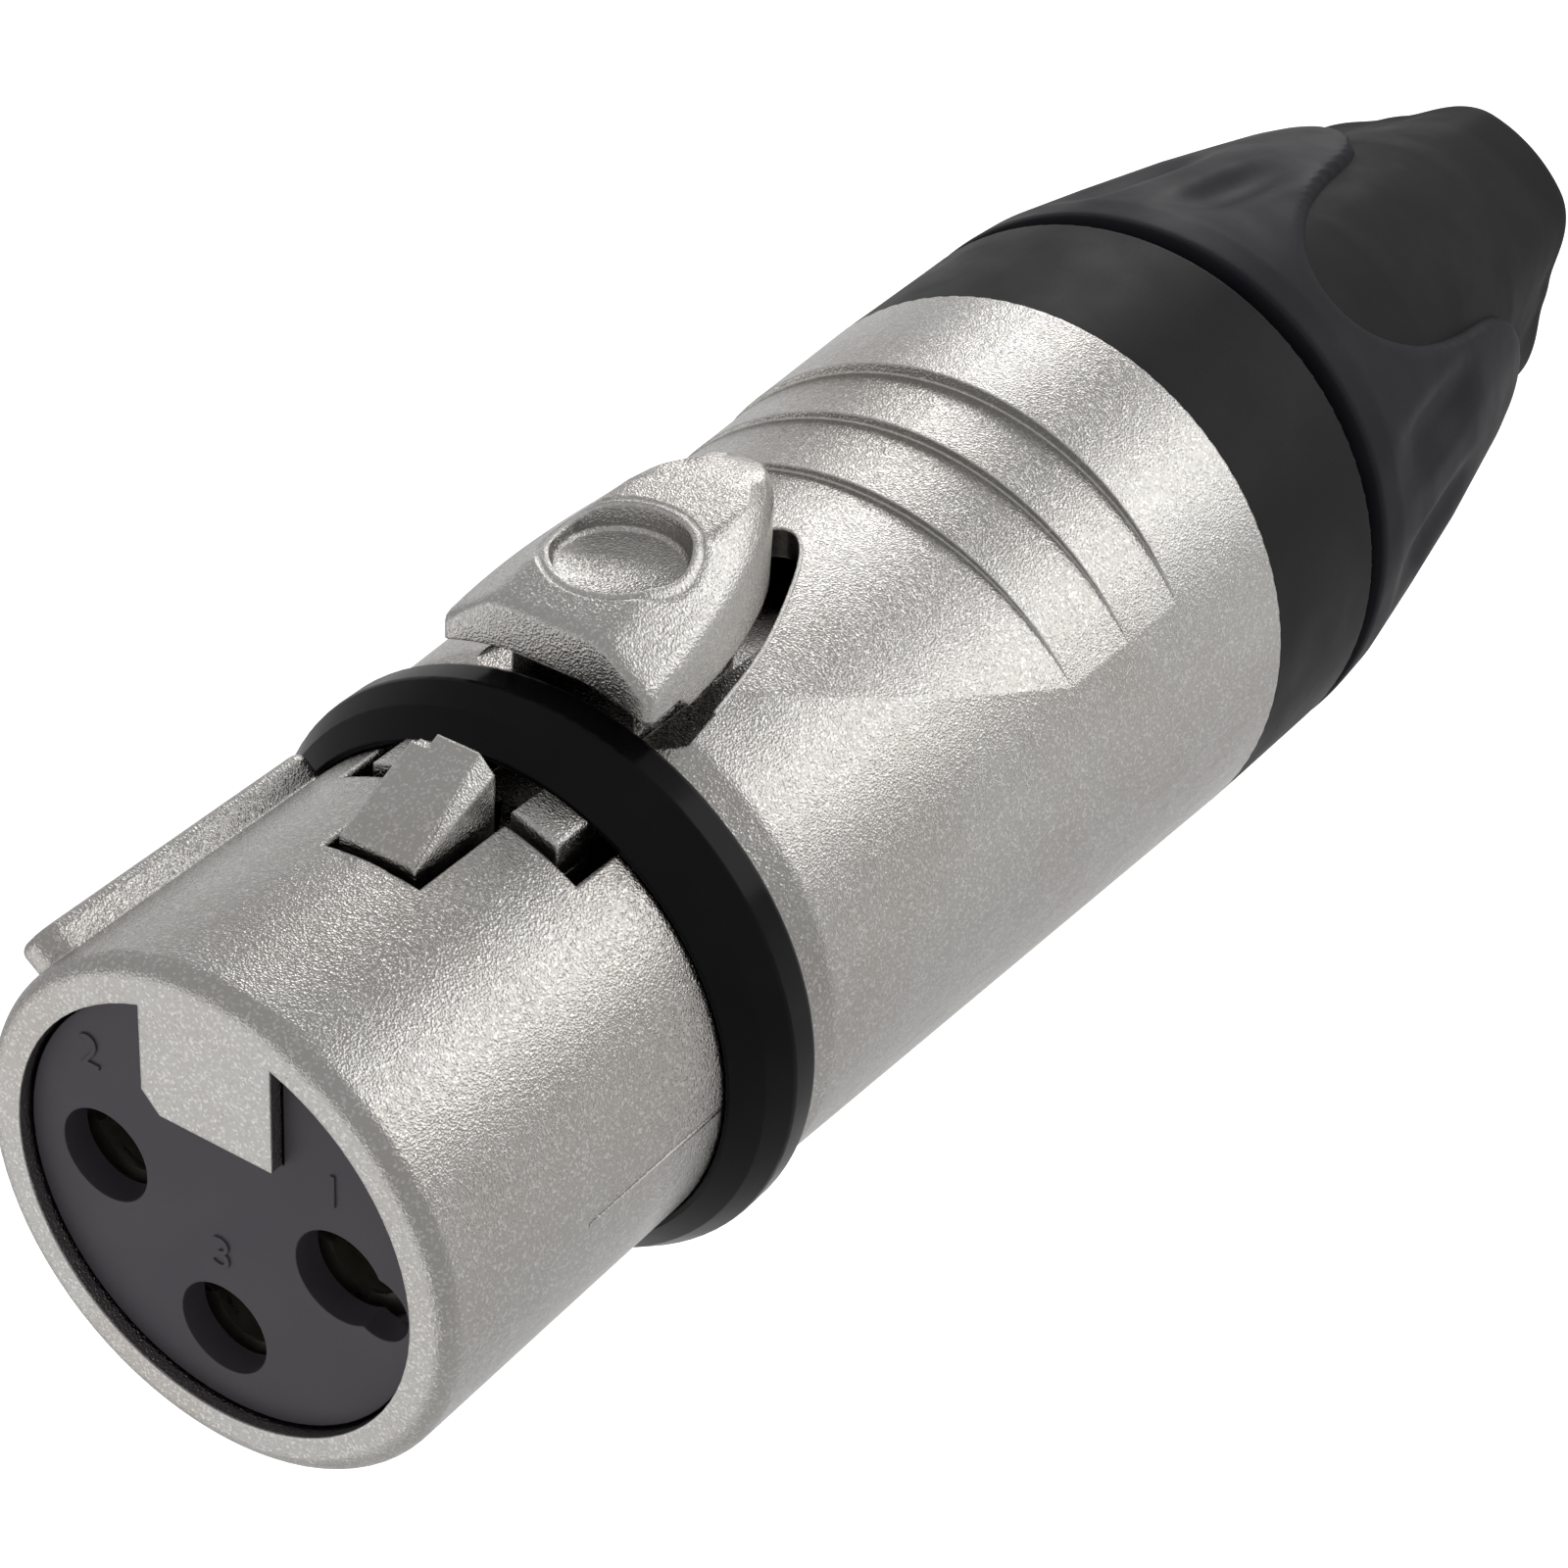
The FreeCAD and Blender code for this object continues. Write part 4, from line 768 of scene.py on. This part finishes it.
class CONNECTOR_OT_latch(bpy.types.Operator):
    """Build the latch: dished thumb cap, hook and lugs with their rounded edges, on the solid's lever"""
    bl_idname = "connector.latch"
    bl_label = "Build latch"

    def execute(self, context):
        material = satin_casting("latch_nickel", context.scene.connector_finish.latch_nickel)
        shape = self.lever()
        self.block(shape, (0.0, HOOK_REAR), HOOK_WIDTH, HOOK_REACH, HOOK_BEVELS, HOOK_EDGE)
        for across in LUG_WIDTHS:
            self.block(shape, (HOOK_REAR, LUG_REAR), across, LUG_LIFT, (), LUG_EDGE)
        self.cap(shape)
        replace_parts(new_piece(shape, "thumb_latch", material, "latch"), "latch")
        return {"FINISHED"}

    def lever(self):
        """The solid's lever, stem and trunnion, without what stands over them."""
        shape = solid_copy("latch")
        for low_x, high_x, height in ((0.0, LUG_REAR, BLOCK_CUT), (LUG_REAR, LATCH_REAR, STEM_CUT)):
            cut_off(shape, low_x, high_x, height)
        return shape

    def block(self, shape, along, across, reach, bevels, edge_round):
        """Adds the solid's hook or a lug as a block of its own, drawn out, bevelled and rounded."""
        part = solid_copy("latch")
        for middle, outward in (((along[0], 0, 0), (-1, 0, 0)), ((along[1], 0, 0), (1, 0, 0)),
                                ((0, across[0], 0), (0, -1, 0)), ((0, across[1], 0), (0, 1, 0)),
                                ((0, 0, BLOCK_FOOT), (0, 0, -1))):
            everything = (*part.verts, *part.edges, *part.faces)
            bmesh.ops.bisect_plane(part, geom=everything, dist=MERGE_DISTANCE, plane_co=Vector(middle) * MM,
                                   plane_no=outward, clear_outer=True)
        nose = [vert for vert in part.verts if vert.co.x < HOOK_NOSE * MM]
        lug = [vert for vert in part.verts if vert.co.x > HOOK_REAR * MM and vert.co.z > LUG_FOOT * MM]
        bmesh.ops.translate(part, vec=Vector(reach) * MM, verts=nose + lug)
        for corner, outward, depth in bevels:
            place = Vector(corner) - depth * Vector(outward).normalized()
            bmesh.ops.bisect_plane(part, geom=(*part.verts, *part.edges, *part.faces), dist=MERGE_DISTANCE,
                                   plane_co=place * MM, plane_no=outward, clear_outer=True)
            bmesh.ops.holes_fill(part, edges=[edge for edge in part.edges if edge.is_boundary])
        bmesh.ops.holes_fill(part, edges=[edge for edge in part.edges if edge.is_boundary])
        bmesh.ops.recalc_face_normals(part, faces=part.faces)
        edges = [edge for edge in part.edges if self.is_worn(edge)]
        bmesh.ops.bevel(part, geom=edges, offset=edge_round * MM, affect="EDGES", segments=4, profile=0.5,
                        material=-1, clamp_overlap=False)
        merge_into(shape, part)

    def is_worn(self, edge):
        """Whether an edge of the hook or a lug is rounded: an upper one, and not part of the hook's step."""
        if not edge.is_manifold or edge.calc_face_angle() < SHARP_ANGLE:
            return False
        first, second = (vert.co / MM for vert in edge.verts)
        on_top = min(first.z, second.z) > LUG_FOOT and min(first.y, second.y) < HOOK_STEP
        return on_top and abs(first.z - second.z) < UPRIGHT_LENGTH

    def cap(self, shape):
        """Adds the thumb cap, drawn ring by ring from the dish's floor over its roof and down its wall."""
        part = bmesh.new()
        outline = cap_outline()
        ray = part.verts.layers.int.new("ray")
        bmesh.ops.create_circle(part, cap_ends=True, segments=len(outline), radius=DISH_MIDDLE * MM)
        part.verts.ensure_lookup_table()
        for number, vert in enumerate(part.verts):
            vert[ray] = number
            vert.co = dish_point(outline[number], DISH_MIDDLE, DISH_FLOOR)
        ring = [edge for edge in part.edges if edge.is_boundary]
        for places in cap_rings(outline):
            made = bmesh.ops.extrude_edge_only(part, edges=ring)["geom"]
            verts = {item for item in made if isinstance(item, bmesh.types.BMVert)}
            for vert in verts:
                vert.co = places[vert[ray]]
            ring = [item for item in made if isinstance(item, bmesh.types.BMEdge)
                    and item.verts[0] in verts and item.verts[1] in verts]
        bmesh.ops.contextual_create(part, geom=ring)
        bmesh.ops.recalc_face_normals(part, faces=part.faces)
        merge_into(shape, part)


class CONNECTOR_OT_grip(bpy.types.Operator):
    """Build the bushing's threaded head with its dimpled fingers, and the boot with its pads"""
    bl_idname = "connector.grip"
    bl_label = "Build grip"

    def execute(self, context):
        head_skins = ((THREAD_FRONT, THREAD_REAR, thread_radius), (HEAD_FRONT, HEAD_REAR, head_radius))
        boot_bore = ((BOOT_FRONT, BOOT_BORE), (BOOT_REAR, BOOT_BORE))
        boot_skins = ((BOOT_FRONT, BOOT_REAR, boot_radius),)
        self.shell("bushing_head", "bushing", swept(BORE_PROFILE, head_skins), "bushing_black")
        self.shell("boot_sleeve", "boot", swept(boot_bore, boot_skins), "boot_rubber")
        return {"FINISHED"}

    def shell(self, name, node, shape, slot):
        """Makes a shape the piece that stands for a node of the bushing's body."""
        piece = new_piece(shape, name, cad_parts[node].data.materials[0], "bushing")
        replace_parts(piece, node)


class CONNECTOR_OT_edging(bpy.types.Operator):
    """Add the housing's small mouldings: the lip round the latch's window and the barrel's parting line"""
    bl_idname = "connector.edging"
    bl_label = "Add edging"

    def execute(self, context):
        detail = context.scene.connector_detail
        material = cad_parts["housing"].data.materials[0]
        curve = bpy.data.curves.new("lip", "CURVE")
        curve.dimensions = "3D"
        curve.bevel_depth = detail.lip_width / 2
        curve.bevel_resolution = 3
        curve.use_fill_caps = True
        line = curve.splines.new("POLY")
        points = self.window_rim()
        line.points.add(len(points) - 1)
        for point, place in zip(line.points, points):
            point.co = (*place, 1.0)
        wire = bpy.data.objects.new("lip", curve)
        shape = bmesh.new()
        shape.from_mesh(bpy.data.meshes.new_from_object(wire))
        bpy.data.objects.remove(wire)
        new_piece(shape, "window_lip", material, "shell")
        seam = bmesh.new()
        bmesh.ops.create_cube(seam, size=1.0)
        seam_size = (SEAM_LENGTH * MM, 2 * detail.seam_height, detail.seam_width)
        bmesh.ops.scale(seam, vec=seam_size, verts=seam.verts)
        bmesh.ops.translate(seam, vec=(SEAM_MIDDLE * MM, -BARREL_RADIUS * MM, 0), verts=seam.verts)
        bmesh.ops.bevel(seam, geom=seam.edges, offset=SEAM_ROUND_SHARE * detail.seam_height, affect="EDGES",
                        segments=2, profile=0.5, material=-1)
        new_piece(seam, "parting_line", material, "shell")
        return {"FINISHED"}

    def window_rim(self):
        """Points round the rear of the window's upper edge, from one side to the other."""
        shape = solid_copy("housing")
        rim = set()
        for edge in shape.edges:
            middle = (edge.verts[0].co + edge.verts[1].co) / (2 * MM)
            if edge.is_manifold and edge.calc_face_angle() > SHARP_ANGLE and self.on_rim(middle):
                rim.update(tuple(vert.co) for vert in edge.verts)
        shape.free()
        left = sorted(place for place in rim if place[1] >= 0)
        right = sorted((place for place in rim if place[1] < 0), reverse=True)
        return left + right

    def on_rim(self, place):
        """Whether a place in millimetres lies on the rear of the window's upper edge."""
        front, rear = WINDOW_RIM_PLACES
        low, high = WINDOW_RIM_RADII
        return front < place.x < rear and place.z > WINDOW_LEDGE and low < math.hypot(place.y, place.z) < high


class CONNECTOR_OT_numbers(bpy.types.Operator):
    """Set the plain numbers 1, 2 and 3 beside the holes of the insert"""
    bl_idname = "connector.numbers"
    bl_label = "Set numbers"

    def execute(self, context):
        detail = context.scene.connector_detail
        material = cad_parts["insert_front"].data.materials[0]
        face_forward = Matrix(((0, 0, -1), (-1, 0, 0), (0, 1, 0))).to_4x4()
        for number, y, z in NUMBER_PLACES:
            curve = bpy.data.curves.new("number", "FONT")
            curve.body = str(number)
            curve.size = detail.number_height
            curve.extrude = detail.number_relief
            curve.align_x = "CENTER"
            curve.align_y = "CENTER"
            letter = bpy.data.objects.new("number", curve)
            shape = bmesh.new()
            shape.from_mesh(bpy.data.meshes.new_from_object(letter))
            bpy.data.objects.remove(letter)
            place = Matrix.Translation((INSERT_FACE_X, y * MM, z * MM))
            bmesh.ops.transform(shape, matrix=place @ face_forward, verts=shape.verts)
            bmesh.ops.remove_doubles(shape, verts=shape.verts, dist=MERGE_DISTANCE)
            new_piece(shape, "pin_number_%d" % number, material, "shell")
        return {"FINISHED"}


class CONNECTOR_OT_stage(bpy.types.Operator):
    """Set the camera, the pale floor and the soft lights"""
    bl_idname = "connector.stage"
    bl_label = "Set stage"

    def execute(self, context):
        studio = context.scene.connector_studio
        self.camera(context)
        floor = bmesh.new()
        bmesh.ops.create_grid(floor, x_segments=1, y_segments=1, size=FLOOR_SIZE)
        bmesh.ops.translate(floor, vec=(0, 0, -studio.floor_depth), verts=floor.verts)
        mesh = bpy.data.meshes.new("floor")
        floor.to_mesh(mesh)
        floor.free()
        mesh.materials.append(stage_surface("floor_paper", studio.floor_colour, studio.floor_lift))
        piece = bpy.data.objects.new("floor", mesh)
        context.scene.collection.objects.link(piece)
        for name, direction, distance, size, power in LAMPS:
            self.lamp(context, name, direction, distance, size, getattr(studio, power))
        world = bpy.data.worlds.new("studio")
        world.use_nodes = True
        world.node_tree.nodes["Background"].inputs["Color"].default_value = (1.0, 1.0, 1.0, 1.0)
        world.node_tree.nodes["Background"].inputs["Strength"].default_value = studio.world_light
        context.scene.world = world
        context.scene.view_settings.view_transform = "Standard"
        return {"FINISHED"}

    def camera(self, context):
        """Camera at the photograph's viewing angle, turned a little about its own axis."""
        data = bpy.data.cameras.new("camera")
        data.sensor_width = SENSOR_WIDTH
        data.lens = CAMERA_LENS
        data.clip_start = MM
        camera = bpy.data.objects.new("camera", data)
        context.scene.collection.objects.link(camera)
        turn = CAMERA_FORWARD.to_track_quat("-Z", "Y").to_matrix().to_4x4()
        roll = Matrix.Rotation(CAMERA_TURN, 4, "Z")
        camera.matrix_world = Matrix.Translation(CAMERA_PLACE * MM) @ turn @ roll
        context.scene.camera = camera

    def lamp(self, context, name, direction, distance, size, power):
        """Soft light that faces the middle of the connector, as wide as size across the axis and along it."""
        data = bpy.data.lights.new(name, "AREA")
        data.shape = "RECTANGLE"
        data.size, data.size_y = size
        data.energy = power
        lamp = bpy.data.objects.new(name, data)
        lamp.visible_camera = False
        context.scene.collection.objects.link(lamp)
        toward = Vector(direction).normalized()
        across = Vector((1, 0, 0)).cross(toward).normalized()
        turn = Matrix((across, toward.cross(across), toward)).transposed().to_4x4()
        lamp.matrix_world = Matrix.Translation(CONNECTOR_MIDDLE + distance * toward) @ turn


class CONNECTOR_PT_panel(bpy.types.Panel):
    """Lists the pieces of the connector in the sidebar"""
    bl_label = "Connector"
    bl_idname = "CONNECTOR_PT_panel"
    bl_space_type = "VIEW_3D"
    bl_region_type = "UI"
    bl_category = "Connector"

    def draw(self, context):
        for operator in OPERATORS:
            self.layout.operator(operator.bl_idname)


SETTINGS = {
    "connector_finish": FinishSettings,
    "connector_detail": DetailSettings,
    "connector_studio": StudioSettings,
}
OPERATORS = (
    CONNECTOR_OT_metal,
    CONNECTOR_OT_plastic,
    CONNECTOR_OT_latch,
    CONNECTOR_OT_grip,
    CONNECTOR_OT_edging,
    CONNECTOR_OT_numbers,
    CONNECTOR_OT_stage,
)


def register():
    for group in SETTINGS.values():
        bpy.utils.register_class(group)
    for operator in OPERATORS:
        bpy.utils.register_class(operator)
    bpy.utils.register_class(CONNECTOR_PT_panel)
    for name, group in SETTINGS.items():
        setattr(bpy.types.Scene, name, bpy.props.PointerProperty(type=group))


def unregister():
    for name in SETTINGS:
        delattr(bpy.types.Scene, name)
    bpy.utils.unregister_class(CONNECTOR_PT_panel)
    for group in (*OPERATORS, *SETTINGS.values()):
        bpy.utils.unregister_class(group)


def main():
    register()
    bpy.ops.connector.metal()
    bpy.ops.connector.plastic()
    bpy.ops.connector.latch()
    bpy.ops.connector.grip()
    bpy.ops.connector.edging()
    bpy.ops.connector.numbers()
    bpy.ops.connector.stage()


if __name__ == "__main__":
    main()
